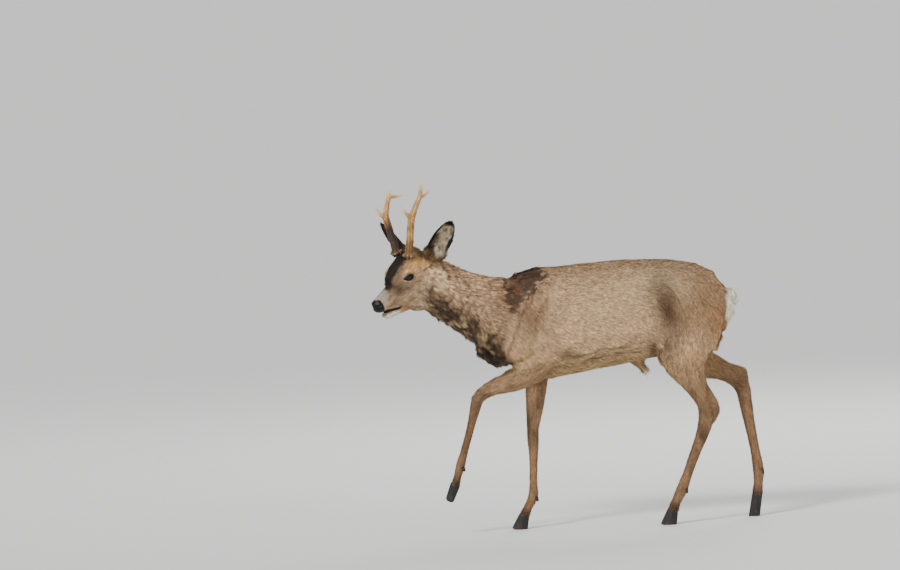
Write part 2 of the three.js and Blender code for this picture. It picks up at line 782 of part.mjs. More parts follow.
// Head, neck and trunk as one body, then cleared of the legs' roots.
const skull = posed(skullLoft(0));
const jaw = posed(jawLoft());
const ears = { left: LEFT_EAR, right: RIGHT_EAR };
const bothEars = Object.values(ears).flatMap((ear) => [earLoft(ear), earBulb(ear)]);
const body = join([trunkLoft(), neckLoft(), skull, jaw, ...bothEars, tailLoft()])
  .subtract(join(Object.values(wholeLegs).map((whole) => whole(CUT))))
  .subtract(posed(mouthGap()))
  .subtract(eyeball(1, CUT))
  .subtract(eyeball(-1, CUT));

// Thin cuts part it, and each piece is known by a point that lies in it.
const BODY_CUTS = [
  plate([-398, -58, 655], [-0.8, -0.38, 0.46], 230, 230),
  plate([-230, 0, 573], [-0.943, 0, 0.334], 350, 350),
  plate([373, 0, 596], [0.75, 0, 0.66], 60, 30),
  earCut(LEFT_EAR),
  earCut(RIGHT_EAR),
  posed(jawCut()),
];
const middleOf = ({ root, tip }) => root.map((v, i) => (v + tip[i]) / 2);
const BODY_PARTS = [
  { name: "head", inside: onHead(-20, 0, 0), material: FACE },
  { name: "lower_jaw", inside: onHead(78, 0, -64), material: FACE },
  { name: "neck", inside: [-310, -18, 600], material: COAT },
  { name: "trunk", inside: [60, 0, 560], material: COAT },
  { name: "tail", inside: [384, 0, 580], material: RUMP },
  { name: "ear_left", inside: middleOf(LEFT_EAR), material: EAR },
  { name: "ear_right", inside: middleOf(RIGHT_EAR), material: EAR },
];
const pieces = body.subtract(join(BODY_CUTS)).decompose();
for (const { name, inside, material } of BODY_PARTS) {
  const distance = (piece) => {
    const { min, max } = piece.boundingBox();
    const gap = inside.map((v, i) => Math.max(min[i] - v, v - max[i], 0));
    const middle = inside.map((v, i) => v - (min[i] + max[i]) / 2);
    return Math.hypot(...gap) * 100 + Math.hypot(...middle);
  };
  const found = pieces
    .filter((piece) => piece.volume() > 500)
    .reduce((a, b) => (distance(a) < distance(b) ? a : b));
  addNode(name, found, material);
}

addNode("eye_left", eyeball(1), EYE);
addNode("eye_right", eyeball(-1), EYE);

// Antlers, each split at its two forks.
const grownSkull = posed(skullLoft(CUT));
for (const [side, antler] of Object.entries(ANTLERS)) {
  const beam = branch(antler.lower_beam, 7, 5);
  const upper = branch(antler.upper_beam, 6, 6);
  const front = branch(antler.front_tine, 5, 3);
  const rear = branch(antler.rear_tine, 5, 3);
  const clearOfBeam = branch(antler.lower_beam, 7, 5, CUT);
  const clearOfUpper = branch(antler.upper_beam, 6, 6, CUT);
  const foot = posed(beam.add(burr(antler.lower_beam)));
  const frontFree = seat(front, clearOfBeam);
  const upperFree = seat(upper, clearOfBeam.add(branch(antler.front_tine, 5, 3, CUT)));
  addNode(`antler_${side}_lower_beam`, seat(foot, grownSkull), ANTLER);
  addNode(`antler_${side}_upper_beam`, posed(upperFree), ANTLER);
  addNode(`antler_${side}_front_tine`, posed(frontFree), ANTLER);
  addNode(`antler_${side}_rear_tine`, posed(seat(rear, clearOfUpper)), ANTLER);
}

// The frame's origin: the middle of the deer's box, on the floor.
const box = new THREE.Box3().setFromObject(deer);
const middle = box.getCenter(new THREE.Vector3());
deer.position.set(-middle.x, -middle.y, -box.min.z);

export default deer;
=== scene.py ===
import math

import bmesh
import bpy
import numpy as np
from mathutils import Matrix, Vector


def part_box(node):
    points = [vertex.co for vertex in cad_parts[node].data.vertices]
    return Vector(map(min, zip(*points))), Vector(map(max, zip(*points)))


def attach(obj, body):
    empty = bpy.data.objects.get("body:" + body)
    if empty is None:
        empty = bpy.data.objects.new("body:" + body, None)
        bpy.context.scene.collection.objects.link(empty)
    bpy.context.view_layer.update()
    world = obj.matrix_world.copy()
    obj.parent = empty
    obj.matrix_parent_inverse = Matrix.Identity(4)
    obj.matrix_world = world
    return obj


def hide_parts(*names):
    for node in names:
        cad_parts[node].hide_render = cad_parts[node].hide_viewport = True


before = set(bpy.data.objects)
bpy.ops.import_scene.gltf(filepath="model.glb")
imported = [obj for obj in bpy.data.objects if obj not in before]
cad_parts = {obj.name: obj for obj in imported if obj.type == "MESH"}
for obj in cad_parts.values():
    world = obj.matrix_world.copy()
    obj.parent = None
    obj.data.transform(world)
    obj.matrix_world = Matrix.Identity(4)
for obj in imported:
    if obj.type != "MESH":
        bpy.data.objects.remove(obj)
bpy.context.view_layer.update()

bpy.ops.object.select_all(action="DESELECT")
chance = np.random.default_rng(11)

# ---- Measures of the deer ----
# Millimetres, as the deer was drawn: it faces -X and its left side faces -Y. The two eyes tell
# where that drawing lies in the frame. The head has axes of its own: forward, left and up.
EYE_LINE = np.array((-486.0, -104.0, 689.0))
HEAD_YAW, HEAD_PITCH, HEAD_ROLL = (math.radians(a) for a in (40, 26, -5))
head_turn = np.array(
    Matrix.Rotation(math.pi, 3, "Z")
    @ Matrix.Rotation(HEAD_YAW, 3, "Z")
    @ Matrix.Rotation(HEAD_PITCH, 3, "Y")
    @ Matrix.Rotation(HEAD_ROLL, 3, "X")
)
eye_boxes = [np.array(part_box(name)) for name in ("eye_left", "eye_right")]
EYEBALL = np.ptp(eye_boxes[0], axis=0).max() * 500
between_eyes = np.mean(eye_boxes, axis=(0, 1)) * 1000
head_zero = between_eyes - head_turn @ (2, 0, -1)
body_zero = head_zero - EYE_LINE


def on_head(x, y, z):
    return head_zero - body_zero + head_turn @ (x, y, z)


def head_way(x, y, z):
    return head_turn @ (x, y, z)


def in_head(points):
    return (points + body_zero - head_zero) @ head_turn


def unit(v):
    return v / np.maximum(np.linalg.norm(v, axis=-1, keepdims=True), 1e-9)


# ---- Studio ----
# A pale floor that runs out of sight behind the deer, one broad soft light from high on the left,
# two weaker lamps and an even sky. The lens is long and stands far off, tipped to one side.
AIM = np.array((-357.0, 0.0, 648.6))
FAR_OFF = 27.0
SPAN = 2.34  # width of the view at the deer, in metres
SENSOR = 36
LOOK_DOWN, LEAN = math.radians(4), math.radians(3)
aim = Vector((AIM + body_zero) / 1000)
view_back = Vector((0, -math.cos(LOOK_DOWN), math.sin(LOOK_DOWN)))
view_up = Vector((0, math.sin(LOOK_DOWN), math.cos(LOOK_DOWN)))
right = Vector((1, 0, 0)) * math.cos(LEAN) - view_up * math.sin(LEAN)
up = Vector((1, 0, 0)) * math.sin(LEAN) + view_up * math.cos(LEAN)
bpy.ops.object.camera_add()
camera = bpy.context.object
camera.name = "camera"
camera.data.sensor_width = SENSOR
camera.data.lens = SENSOR * FAR_OFF / SPAN
camera.data.clip_end = 600
camera.matrix_world = Matrix.Translation(aim + view_back * FAR_OFF) @ (
    Matrix((right, up, view_back)).transposed().to_4x4()
)
bpy.context.scene.camera = camera

bpy.ops.mesh.primitive_plane_add(size=500)
floor = bpy.context.object
floor.name = "floor"
floor_paint = bpy.data.materials.new("pale_floor")
floor_paint.use_nodes = True
floor_looks = floor_paint.node_tree.nodes["Principled BSDF"].inputs
floor_looks["Base Color"].default_value = (0.8, 0.79, 0.76, 1)
floor_looks["Roughness"].default_value = 0.9
floor.data.materials.append(floor_paint)

# Each sun: which way it shines, its power, its breadth in degrees. Each lamp: its place in metres,
# its power and its size.
# The weak second sun only glances off the near eye, at the edge of its lid.
SUNS = {"key": ((0.5, 0.68, -0.62), 2.6, 14), "catch": ((-0.423, 0.891, -0.163), 0.14, 7)}
for name, (heading, power, breadth) in SUNS.items():
    bpy.ops.object.light_add(type="SUN", location=(-3, -4, 5))
    sun = bpy.context.object
    sun.name = name + "_light"
    sun.data.energy = power
    sun.data.angle = math.radians(breadth)
    sun.rotation_euler = Vector(heading).to_track_quat("-Z", "Y").to_euler()
LAMPS_AIM = Vector((-0.1, 0, 0.5))
LAMPS = {"fill": ((2.8, -3.0, 1.6), 40, 2.5), "rim": ((1.0, 3.2, 2.8), 80, 2.0)}
for name, (place, power, size) in LAMPS.items():
    bpy.ops.object.light_add(type="AREA", location=place)
    lamp = bpy.context.object
    lamp.name = name + "_light"
    lamp.data.energy = power
    lamp.data.size = size
    lamp.visible_glossy = False
    lamp.rotation_euler = (LAMPS_AIM - Vector(place)).to_track_quat("-Z", "Y").to_euler()
sky = bpy.data.worlds.new("sky")
sky.use_nodes = True
sky_looks = sky.node_tree.nodes["Background"].inputs
sky_looks["Color"].default_value = (0.93, 0.96, 1.0, 1)
sky_looks["Strength"].default_value = 0.62
bpy.context.scene.world = sky


# ---- Skin: the whole deer in one hide ----
# One soft hide without a seam over head, neck, trunk, tail and legs, stretched on the flesh. The
# flesh of the frame is fused into one body, smoothed, and drawn in by the depth of its hair.
def unwrap_outside(piece, angle):
    """Turns a closed mesh's faces outwards and unwraps it."""
    bpy.ops.object.mode_set(mode="EDIT")
    bpy.ops.mesh.select_all(action="SELECT")
    bpy.ops.mesh.normals_make_consistent(inside=False)
    bpy.ops.uv.smart_project(angle_limit=math.radians(angle), island_margin=0.001)
    shape = bmesh.from_edit_mesh(piece.data)
    if shape.calc_volume(signed=True) < 0:
        bpy.ops.mesh.flip_normals()
    bpy.ops.object.mode_set(mode="OBJECT")
    piece.data.uv_layers[0].name = "OFBake"


FLESH = ["head", "lower_jaw", "neck", "trunk", "tail", "ear_left", "ear_right"] + [
    f"{leg}_{part}"
    for leg in ("foreleg_left", "foreleg_right", "hindleg_left", "hindleg_right")
    for part in ("upper", "cannon", "pastern")
]
# In metres: how far flesh swells to close hairline gaps, and the grid it is fused on.
GAP_FILL = 0.0004
VOXEL = 0.0028


def mesh_object(name, mesh):
    piece = bpy.data.objects.new(name, mesh)
    bpy.context.scene.collection.objects.link(piece)
    bpy.ops.object.select_all(action="DESELECT")
    piece.select_set(True)
    bpy.context.view_layer.objects.active = piece
    return piece


def remesh(piece, voxel):
    bpy.ops.object.modifier_add(type="REMESH")
    piece.modifiers[-1].mode = "VOXEL"
    piece.modifiers[-1].voxel_size = voxel
    bpy.ops.object.modifier_apply(modifier=piece.modifiers[-1].name)


def fused(name, nodes, voxel, swell):
    """The named nodes of the frame as one closed mesh of even small faces."""
    shape = bmesh.new()
    for node in nodes:
        shape.from_mesh(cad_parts[node].data)
    bmesh.ops.remove_doubles(shape, verts=shape.verts, dist=1e-6)
    shape.normal_update()
    for corner in shape.verts:
        corner.co += corner.normal * swell
    mesh = bpy.data.meshes.new(name)
    shape.to_mesh(mesh)
    shape.free()
    piece = mesh_object(name, mesh)
    remesh(piece, voxel)
    return piece


def read(items, field, width, kind=np.float32):
    """One field of all the vertices, edges or loops of a mesh, a row for each."""
    values = np.empty(len(items) * width, kind)
    items.foreach_get(field, values)
    return values.reshape(-1, width)


def places(mesh):
    return read(mesh.vertices, "co", 3).astype(float) * 1000


def put_places(mesh, points):
    mesh.vertices.foreach_set("co", (points / 1000).astype(np.float32).ravel())
    mesh.update()


def outward(mesh):
    return read(mesh.vertices, "normal", 3).astype(float)


def edge_pairs(mesh):
    return read(mesh.edges, "vertices", 2, np.int32)


def neighbour_mean(values, pairs):
    n = len(values)
    a, b = pairs.T
    count = np.bincount(a, minlength=n) + np.bincount(b, minlength=n)
    total = [np.bincount(a, column[b], n) + np.bincount(b, column[a], n) for column in values.T]
    return np.stack(total, 1) / np.maximum(count, 1)[:, None]


def smoothed(points, pairs, rounds, share):
    """Smooths without shrinking: each round in is followed by a round out."""
    for _ in range(rounds):
        for step in (0.62, -0.64):
            points = points + (neighbour_mean(points, pairs) - points) * step * share
    return points


def grain(points, size, seed=0):
    """Soft random values from 0 to 1 that change over about size millimetres."""
    q = points / size + seed * 7.31
    low = np.floor(q).astype(np.int64)
    f = q - low
    f = f * f * (3 - 2 * f)
    total = 0
    for corner in range(8):
        # A value of its own for each corner of the cell, scrambled from the corner's place.
        step = np.array([corner & 1, corner >> 1 & 1, corner >> 2 & 1])
        cell = low + step
        mixed = cell[:, 0] * 73856093 ^ cell[:, 1] * 19349663 ^ cell[:, 2] * 83492791
        mixed = (mixed ^ (mixed >> 13)) * 1274126177 & 0x7FFFFFFF
        value = (mixed >> 7 & 0xFFFF) / 65535
        total = total + value * np.prod(np.where(step, f, 1 - f), axis=1)
    return total


def rise(x, low, high):
    """0 up to low, 1 from high on, and smooth between."""
    t = np.clip((x - low) / (high - low), 0, 1)
    return t * t * (3 - 2 * t)


def fall(x, low, high):
    return 1 - rise(x, low, high)


def hump(away, reach):
    """1 where away is 0, fading to 0 beyond the reach."""
    return np.exp(-((away / reach) ** 2))


def about(points, centre, reach):
    """1 at a centre, fading to 0 beyond its reach."""
    return np.exp(-(((points - np.array(centre)) / np.array(reach)) ** 2).sum(1))


# Each foot from the coronet, where hair ends and horn begins, to its toe.
FOOT_ENDS = {
    "foreleg_left": np.array([(-369.7, -70, 135.9), (-385, -70, 95)]),
    "foreleg_right": np.array([(-194.2, 27, 37.9), (-207, 27, 0)]),
    "hindleg_left": np.array([(191.8, -60, 40.9), (179, -60, 0)]),
    "hindleg_right": np.array([(415.5, 58, 59.8), (406, 58, 0)]),
}
FOOT_REACH = 70  # no other part of the deer comes this close to a coronet


def in_hooves(points):
    """1 below the coronets, where the hide is hidden in the hooves."""
    inside = np.zeros(len(points))
    for top, toe in FOOT_ENDS.values():
        rel = points - top
        near = np.linalg.norm(rel, axis=1) < FOOT_REACH
        inside = np.maximum(inside, rise(rel @ unit(toe - top), -0.5, 2.5) * near)
    return inside


# The lines that hair follows: where each runs from and to, how thick the body is there, how long
# the hair is, and which way it lies if that isn't along the line.
HEAD_LINES = [
    ("face", (112, 0, -34), (52, 0, -34), 20, 4.0, (-1, 0, 0.15)),
    ("face", (52, 0, -20), (-20, 0, 0), 34, 7.0, (-1, 0, 0.25)),
    ("head", (-20, 0, 5), (-95, 0, 10), 42, 11.0, (-1, 0, 0.0)),
    ("jaw", (92, 0, -74), (40, 0, -78), 14, 5.0, (-1, 0, -0.1)),
    ("jaw", (40, 0, -74), (-60, 0, -92), 34, 13.0, (-1, 0, -0.25)),
]
BODY_LINES = [
    ("neck", (-408, -58, 705), (-220, -4, 640), 56, 18, (0.85, 0.25, -0.45)),
    ("neck", (-395, -52, 630), (-262, -8, 500), 60, 23, (0.7, 0.2, -0.75)),
    ("chest", (-262, 0, 480), (-225, 0, 420), 60, 24, (0.45, 0, -1)),
    ("trunk", (-190, 0, 620), (330, 0, 610), 88, 14, (1, 0, -0.3)),
    ("trunk", (-180, 0, 480), (290, 0, 500), 92, 14, (1, 0, -0.45)),
    ("rump", (352, 0, 610), (368, 0, 520), 60, 11, (0.4, 0, -1)),
    ("tail", (370, 0, 600), (386, 0, 566), 12, 7, (0.3, 0, -1)),
]
for side, hand in (("left", -1), ("right", 1)):
    BODY_LINES += [
        ("shoulder", (-112, hand * 46, 640), (-160, hand * 62, 540), 46, 14, (0.55, 0, -0.8)),
        ("shoulder", (-160, hand * 62, 540), (-190, hand * 64, 460), 42, 13, (0.6, 0, -0.8)),
        ("thigh", (300, hand * 48, 620), (262, hand * 58, 520), 74, 13, (0.45, 0, -1)),
        ("thigh", (262, hand * 58, 520), (240, hand * 64, 440), 70, 12, (0.1, 0, -1)),
    ]
LIMBS = {
    "foreleg_left": [(-130, -62, 425), (-299, -76, 357), (-352, -71, 190), (-369, -70, 138)],
    "foreleg_right": [(-138, 61, 425), (-161, 46, 246), (-169, 31, 94), (-193, 27, 40)],
    "hindleg_left": [(250, -66, 410), (290, -66, 300), (220, -60, 99), (193, -60, 43)],
    "hindleg_right": [(250, 62, 430), (386, 62, 352), (420, 58, 132), (416, 58, 62)],
}
# The brush of longer hair outside each hind cannon.
HIND_BRUSHES = ((281, -73, 236), (414, 68, 292))
LIMB_PARTS = [("upper", 27, 8.0), ("cannon", 13, 4.6), ("pastern", 14, 5.6)]
for leg, knees in LIMBS.items():
    for (part, girth, hair), start, end in zip(LIMB_PARTS, knees, knees[1:]):
        way = tuple(np.subtract(end, start) / 100.0)
        BODY_LINES.append((f"{leg}_{part}", start, end, girth, hair, way))
# Each ear is a cupped leaf, from its root to its tip and with the way its hollow side faces.
# Half its width is given at heights from 0 to 1.
EAR_WIDTH = [(0, 33), (0.2, 30), (0.45, 30), (0.65, 29), (0.85, 21), (1, 8)]
EARS = {
    "ear_left": (on_head(-82, 36, 0), on_head(-133, 119, 100), np.array((0.3, -0.95, 0.05))),
    "ear_right": (on_head(-74, -36, 4), on_head(-88, -117, 96), head_way(0.55, -0.75, -0.2)),
}
lines = [
    (name, on_head(*start), on_head(*end), girth, hair, head_way(*way))
    for name, start, end, girth, hair, way in HEAD_LINES
]
lines += [
    (name, np.array(start, float), np.array(end, float), girth, hair, np.array(way, float))
    for name, start, end, girth, hair, way in BODY_LINES
]
lines += [
    (name, root + (tip - root) * 0.15, tip, 26, 5.5, tip - root)
    for name, (root, tip, opening) in EARS.items()
]
line_names = np.array([line[0] for line in lines])


def follow_lines(points):
    """For each point: how much it belongs to each line."""
    weights = np.empty((len(points), len(lines)))
    for k, (_, start, end, girth, _, _) in enumerate(lines):
        along = end - start
        t = np.clip((points - start) @ along / (along @ along), 0, 1)
        away = np.linalg.norm(points - start - t[:, None] * along, axis=1)
        weights[:, k] = 1 / (0.15 + away / girth) ** 7
    return weights / weights.sum(1, keepdims=True)


line_ways = unit(np.array([line[5] for line in lines]))


def locks(points, weights, size, longer, seed):
    """Soft random values in streaks that run with the hair, longer than they are wide."""
    way = line_ways[weights.argmax(1)]
    run = (points * way).sum(1, keepdims=True)
    return grain(points - way * run * (1 - 1 / longer), size, seed)


def belongs(weights, *names):
    return weights[:, np.isin(line_names, names)].sum(1)


def ear_place(points, ear):
    """Height in an ear from 0 to 1, place from rim -1 to rim 1, and depth before its middle."""
    root, tip, opening = EARS[ear]
    axis = unit(tip - root)
    opening = unit(opening - axis * (opening @ axis))
    across = np.cross(axis, opening)
    rel = points - root
    height = rel @ axis / np.linalg.norm(tip - root)
    half = np.interp(height, *zip(*EAR_WIDTH))
    rim = rel @ across / half
    cup = 17 * np.sin(np.pi * np.minimum(1, np.clip(height, 0, 1) * 0.8 + 0.2))
    cup = cup * np.minimum(1, np.sqrt(np.clip(1 - height, 0, 1) * 9))
    return height, rim, rel @ opening - cup * (rim**2 - 0.5), opening


FEET = [f"hoof_{leg}_{side}" for leg in LIMBS for side in ("outer", "inner")]
PLAIN_PARTS = ("neck", "chest", "trunk", "rump", "shoulder", "thigh")
skin = fused("skin", FLESH + FEET + ["eye_left", "eye_right"], VOXEL, GAP_FILL)
# The clefts where the legs meet the trunk close: the body swells, is remeshed and shrinks back.
CLEFT = 4.0
for way in (1, -1):
    points = places(skin.data) - body_zero
    plain = belongs(follow_lines(points), *PLAIN_PARTS)
    points += outward(skin.data) * (way * CLEFT * plain)[:, None]
    put_places(skin.data, points + body_zero)
    if way == 1:
        remesh(skin, VOXEL)

# The steps of the fused shapes are smoothed away, a little all over and for long on the body.
ROUNDS_ALL_OVER, ROUNDS_ON_BODY = 12, 240
points = places(skin.data) - body_zero
pairs = edge_pairs(skin.data)
weights = follow_lines(points)
plain = belongs(weights, *PLAIN_PARTS)
fine = belongs(weights, "face", "jaw", "head", "tail", *EARS)
softness = np.clip(0.55 - 0.2 * fine + 0.45 * plain, 0.3, 1)[:, None]
points = smoothed(points, pairs, ROUNDS_ALL_OVER, softness)
nape = rise(-in_head(points)[:, 0], 30, 62) * (1 - belongs(weights, *EARS))
points = smoothed(points, pairs, ROUNDS_ON_BODY, np.maximum(plain, nape * 0.9)[:, None])
# Each ear's shell thins to half.
for ear in EARS:
    inside = belongs(weights, ear) > 0.5
    height, _, depth, opening = ear_place(points, ear)
    thin = inside * rise(height, 0.12, 0.4) * 0.5
    points -= (thin * depth)[:, None] * opening
put_places(skin.data, points + body_zero)
normals = outward(skin.data)
weights = follow_lines(points)

# The hide lies under the flesh's surface by as much as its hair stands up.
HAIR_LIFT = 0.3  # how far a hair's tip stands off the hide, as a share of its length
hair_length = weights @ np.array([line[4] for line in lines])
sunk = np.clip(hair_length * HAIR_LIFT, 0.6, 8)
sunk = np.where(belongs(weights, *EARS) > 0.3, 0.8, sunk)[:, None]
sunk = np.maximum(sunk, 2.6 * in_hooves(points)[:, None])
for _ in range(4):
    sunk = neighbour_mean(sunk, pairs)
points = points - normals * sunk
# Below each coronet the hide ends in a short stub inside the hooves: past the first few
# millimetres most of its length is taken away, and some of its width.
STUB, SHORTER, NARROWER = 3, 0.85, 0.28
for top, toe in FOOT_ENDS.values():
    down = unit(toe - top)
    low = (points - top) @ down
    deep = (np.linalg.norm(points - top, axis=1) < FOOT_REACH) & (low > STUB)
    points -= down * np.where(deep, (low - STUB) * SHORTER, 0)[:, None]
    aside = points - top - ((points - top) @ down)[:, None] * down
    near = (np.linalg.norm(points - top, axis=1) < 40) * rise(low, -1, 4)
    points -= aside * (near * NARROWER)[:, None]
put_places(skin.data, points + body_zero)

# Only the face needs small faces: the rest is thinned, and the face, lids, nose and lips refined.
KEPT_FACES = 0.46
group = skin.vertex_groups.new(name="plain")
keep = belongs(weights, "face", "jaw", "head", *EARS)
for level in range(1, 11):
    chosen = np.flatnonzero(np.ceil((1 - keep) * 10).astype(int) == level)
    group.add(chosen.tolist(), level / 10, "REPLACE")
bpy.ops.object.modifier_add(type="DECIMATE")
skin.modifiers[-1].ratio = KEPT_FACES
skin.modifiers[-1].vertex_group = "plain"
bpy.ops.object.modifier_apply(modifier=skin.modifiers[-1].name)
skin.vertex_groups.clear()

MOUTH_FRONT, MOUTH_CORNER = (110.0, 0, -56), (54.0, 19, -64)
EYE_AXIS = unit(np.array((0.22, 0.97, 0.05)))
# The lids' opening: half its length, its height above and below the middle, and how full it is.
HALF_OPENING, OPEN_ABOVE, OPEN_BELOW, ALMOND = 13.4, 6.4, 5.2, 1.6


def eye_place(hand):
    return np.array((2, hand * 31, -1))


def lid_distance(local, hand):
    """Distance outside the almond between the lids, in millimetres, and the eyeball's own sight."""
    rel = local - eye_place(hand)
    axis = EYE_AXIS * (1, hand, 1)
    level = unit(np.array((1, 0, 0.12)) - axis * (axis[0] + 0.12 * axis[2]))
    tall = np.cross(level, axis) * hand
    radius = np.linalg.norm(rel, axis=1)
    sight = rel @ axis
    a = np.arctan2(rel @ level, sight) * EYEBALL
    b = np.arctan2(rel @ tall, sight) * EYEBALL
    high = np.where(b > 0, OPEN_ABOVE, OPEN_BELOW)
    size = ((np.abs(a) / HALF_OPENING) ** ALMOND + (np.abs(b) / high) ** ALMOND) ** (1 / ALMOND)
    return np.where(sight > 0, (size - 1) * 7.5, 60), rel, radius, a, b


def lid_gap(local):
    """Distance outside the nearer eye's lids."""
    return np.minimum(lid_distance(local, 1)[0], lid_distance(local, -1)[0])


# Smaller faces three times over: on the whole face, at the eyes, nose and lips, and on the lids.
for close_to in (
    lambda local: (local[:, 0] > -30) & (local[:, 2] > -100) & (np.abs(local[:, 1]) < 60),
    lambda local: (lid_gap(local) < 9) | (local[:, 0] > 84),
    lambda local: np.abs(lid_gap(local)) < 3.5,
):
    shape = bmesh.new()
    shape.from_mesh(skin.data)
    chosen = close_to(in_head(places(skin.data) - body_zero))
    shape.verts.ensure_lookup_table()
    cut = [e for e in shape.edges if chosen[e.verts[0].index] and chosen[e.verts[1].index]]
    bmesh.ops.subdivide_edges(shape, edges=cut, cuts=1, use_grid_fill=True)
    bmesh.ops.triangulate(shape, faces=[f for f in shape.faces if len(f.verts) > 4])
    shape.to_mesh(skin.data)
    shape.free()


def mouth_side(local):
    """Height above the line where the lips meet, and how far along it towards the corner."""
    (front, _, front_height), (corner, _, corner_height) = MOUTH_FRONT, MOUTH_CORNER
    t = (front - local[:, 0]) / (front - corner)
    return local[:, 2] - (front_height + (corner_height - front_height) * t), t


points = places(skin.data) - body_zero
pairs = edge_pairs(skin.data)
put_places(skin.data, smoothed(points, pairs, 3, 0.5) + body_zero)
points = places(skin.data) - body_zero
local = in_head(points)
normals = outward(skin.data)
turned = np.zeros_like(local)
for hand in (1, -1):
    # Lids: a rolled rim on the eyeball, a crease above, a bag below, and the ball's bed behind.
    gap, rel, radius, a, b = lid_distance(local, hand)
    rim = 1.9 * rise(gap, -0.9, 0.8) - 3.2 * fall(gap, -1.6, -0.3)
    crease = -1.0 * hump(gap - 5.2, 1.5) * (b > 0)
    bag = 0.7 * hump(gap - 3.4, 2.0) * (b <= 0)
    wanted = EYEBALL + rim + crease + bag + 0.18 * np.clip(gap, 0, 12)
    share = fall(gap, 3.5, 11)
    depth = (wanted - radius) * share
    bed = EYEBALL + 1.6 - radius - depth
    depth += np.where((gap > 1) & (gap < 59), np.maximum(bed, 0), 0)
    turned += unit(rel) * depth[:, None]
    # Tear pit in front of the eye.
    pit = about(local, (24, hand * 33, -10), (6, 8, 2.2))
    turned -= normals @ head_turn * (1.6 * pit)[:, None]
    # Nostril: a deep comma with a raised wing.
    hole = about(local, (108, hand * 9.5, -33), (4.8, 4.4, 3.8))
    slit = about(local, (105, hand * 15, -30), (4.5, 4.5, 1.8))
    wing = about(local, (104, hand * 14.5, -25), (6, 6, 3.2))
    inwards = np.array((-0.8, -hand * 0.5, 0.15))
    turned += (7.5 * hole + 4.0 * slit)[:, None] * inwards
    turned += (1.2 * wing)[:, None] * (normals @ head_turn)
# Lips: a groove where they meet, a roll on each, and the furrow down the nose.
above, along = mouth_side(local)
hx, hy, hz = local.T
on_mouth = (along > -0.3) & (along < 1.02)
crease = hump(above, 1.7) * on_mouth * rise(-hz, 40, 48)
roll = hump(above - 4, 2.4) + hump(above + 4, 2.4)
philtrum = hump(hy, 1.3) * rise(hx, 98, 104) * rise(-hz, 31, 35)
push = -1.8 * crease + 0.5 * roll * on_mouth * (hx > 60) - 0.9 * philtrum
turned += push[:, None] * (normals @ head_turn)
points = points + turned @ head_turn.T


def folds(points, weights):
    """Loose hide, in millimetres: two long creases over the belly's edge, wrinkles behind the
    elbow and in the groin, clumped locks on the neck and ruffs behind the head."""
    x, y, z = points.T
    trunk = belongs(weights, "trunk", "shoulder", "thigh")
    edge = z - 446 - (x + 84) * 0.17 + (grain(points, 30, 4) - 0.5) * 16
    span = rise(x, -130, -70) * fall(x, 100, 150) * trunk
    second = edge + 17 + (grain(points, 22, 5) - 0.5) * 14
    broken = rise(grain(points, 26, 15), 0.25, 0.55)
    crease = -3.0 * hump(edge, 4.2) * broken - 3.2 * hump(second, 3.8) * (1 - broken * 0.6)
    crease = crease * span
    slanted = np.stack([x * 0.3 + z * 0.5, y, z - x * 0.35], 1)
    elbow = np.exp(-(((x + 92) / 60) ** 2) - ((z - 462) / 46) ** 2)
    groin = np.exp(-(((x - 196) / 40) ** 2) - ((z - 470) / 44) ** 2)
    wrinkles = (grain(slanted, 12, 3) - 0.5) * 9 * trunk * np.maximum(elbow, groin * 0.7)
    neck = belongs(weights, "neck", "chest")
    sheared = np.stack([x + z * 0.9, y, z - x * 0.2], 1)
    low = 1 - 0.55 * rise(z - 0.35 * x, 690, 790)
    clumps = (grain(sheared * (0.5, 1, 0.7), 10, 5) - 0.5) * 6 * neck * low
    local = in_head(points)
    behind = -local[:, 0]
    reach = np.linalg.norm(local - (-20, 0, -20), axis=1) + (grain(points, 24, 16) - 0.5) * 22
    ruffs = np.sin(reach * 0.42) * 1.5 * rise(behind, 30, 62) * fall(behind, 120, 200)
    ruffs = ruffs * belongs(weights, "neck", "head", "jaw") * fall(local[:, 2], -20, 10)
    return crease + wrinkles + clumps + ruffs


weights = follow_lines(points)
flanks = belongs(weights, "trunk", "shoulder", "thigh", "rump")
shallow = (grain(points, 45, 8) - 0.5) * 2.5 * flanks
points = points + normals * (folds(points, weights) + shallow)[:, None]
put_places(skin.data, points + body_zero)
for polygon in skin.data.polygons:
    polygon.use_smooth = True

unwrap_outside(skin, 72)


# ---- Markings ----
# The coat's colours, in the late-winter grey-brown of a buck about to moult: a dark saddle over the
# withers, a dark brow and nose bridge, a white rump, chin and muzzle, and browner legs.
# Each is written as it should look in the studio, where light softens contrast: the paint adds it.
MID_TONE, ADDED_CONTRAST = 0.41, 1.55
KEPT_COLOUR, BRIGHTEST = 0.9, 0.88  # shares of a colour's own strength, and of full white


def tone(code):
    """The linear paint that shows as the given colour in the studio."""
    srgb = np.array([int(code[i : i + 2], 16) for i in (1, 3, 5)]) / 255
    linear = np.where(srgb <= 0.04045, srgb / 12.92, ((srgb + 0.055) / 1.055) ** 2.4)
    linear = linear.mean() + (linear - linear.mean()) * KEPT_COLOUR
    deep = MID_TONE * (linear / MID_TONE) ** ADDED_CONTRAST
    return deep * min(1, BRIGHTEST / deep.max())


def painted(colour, *layers):
    """A colour laid over by others, each with its own share at every point."""
    for share, code in layers:
        colour = colour + (tone(code) - colour) * np.clip(share, 0, 1)[:, None]
    return colour


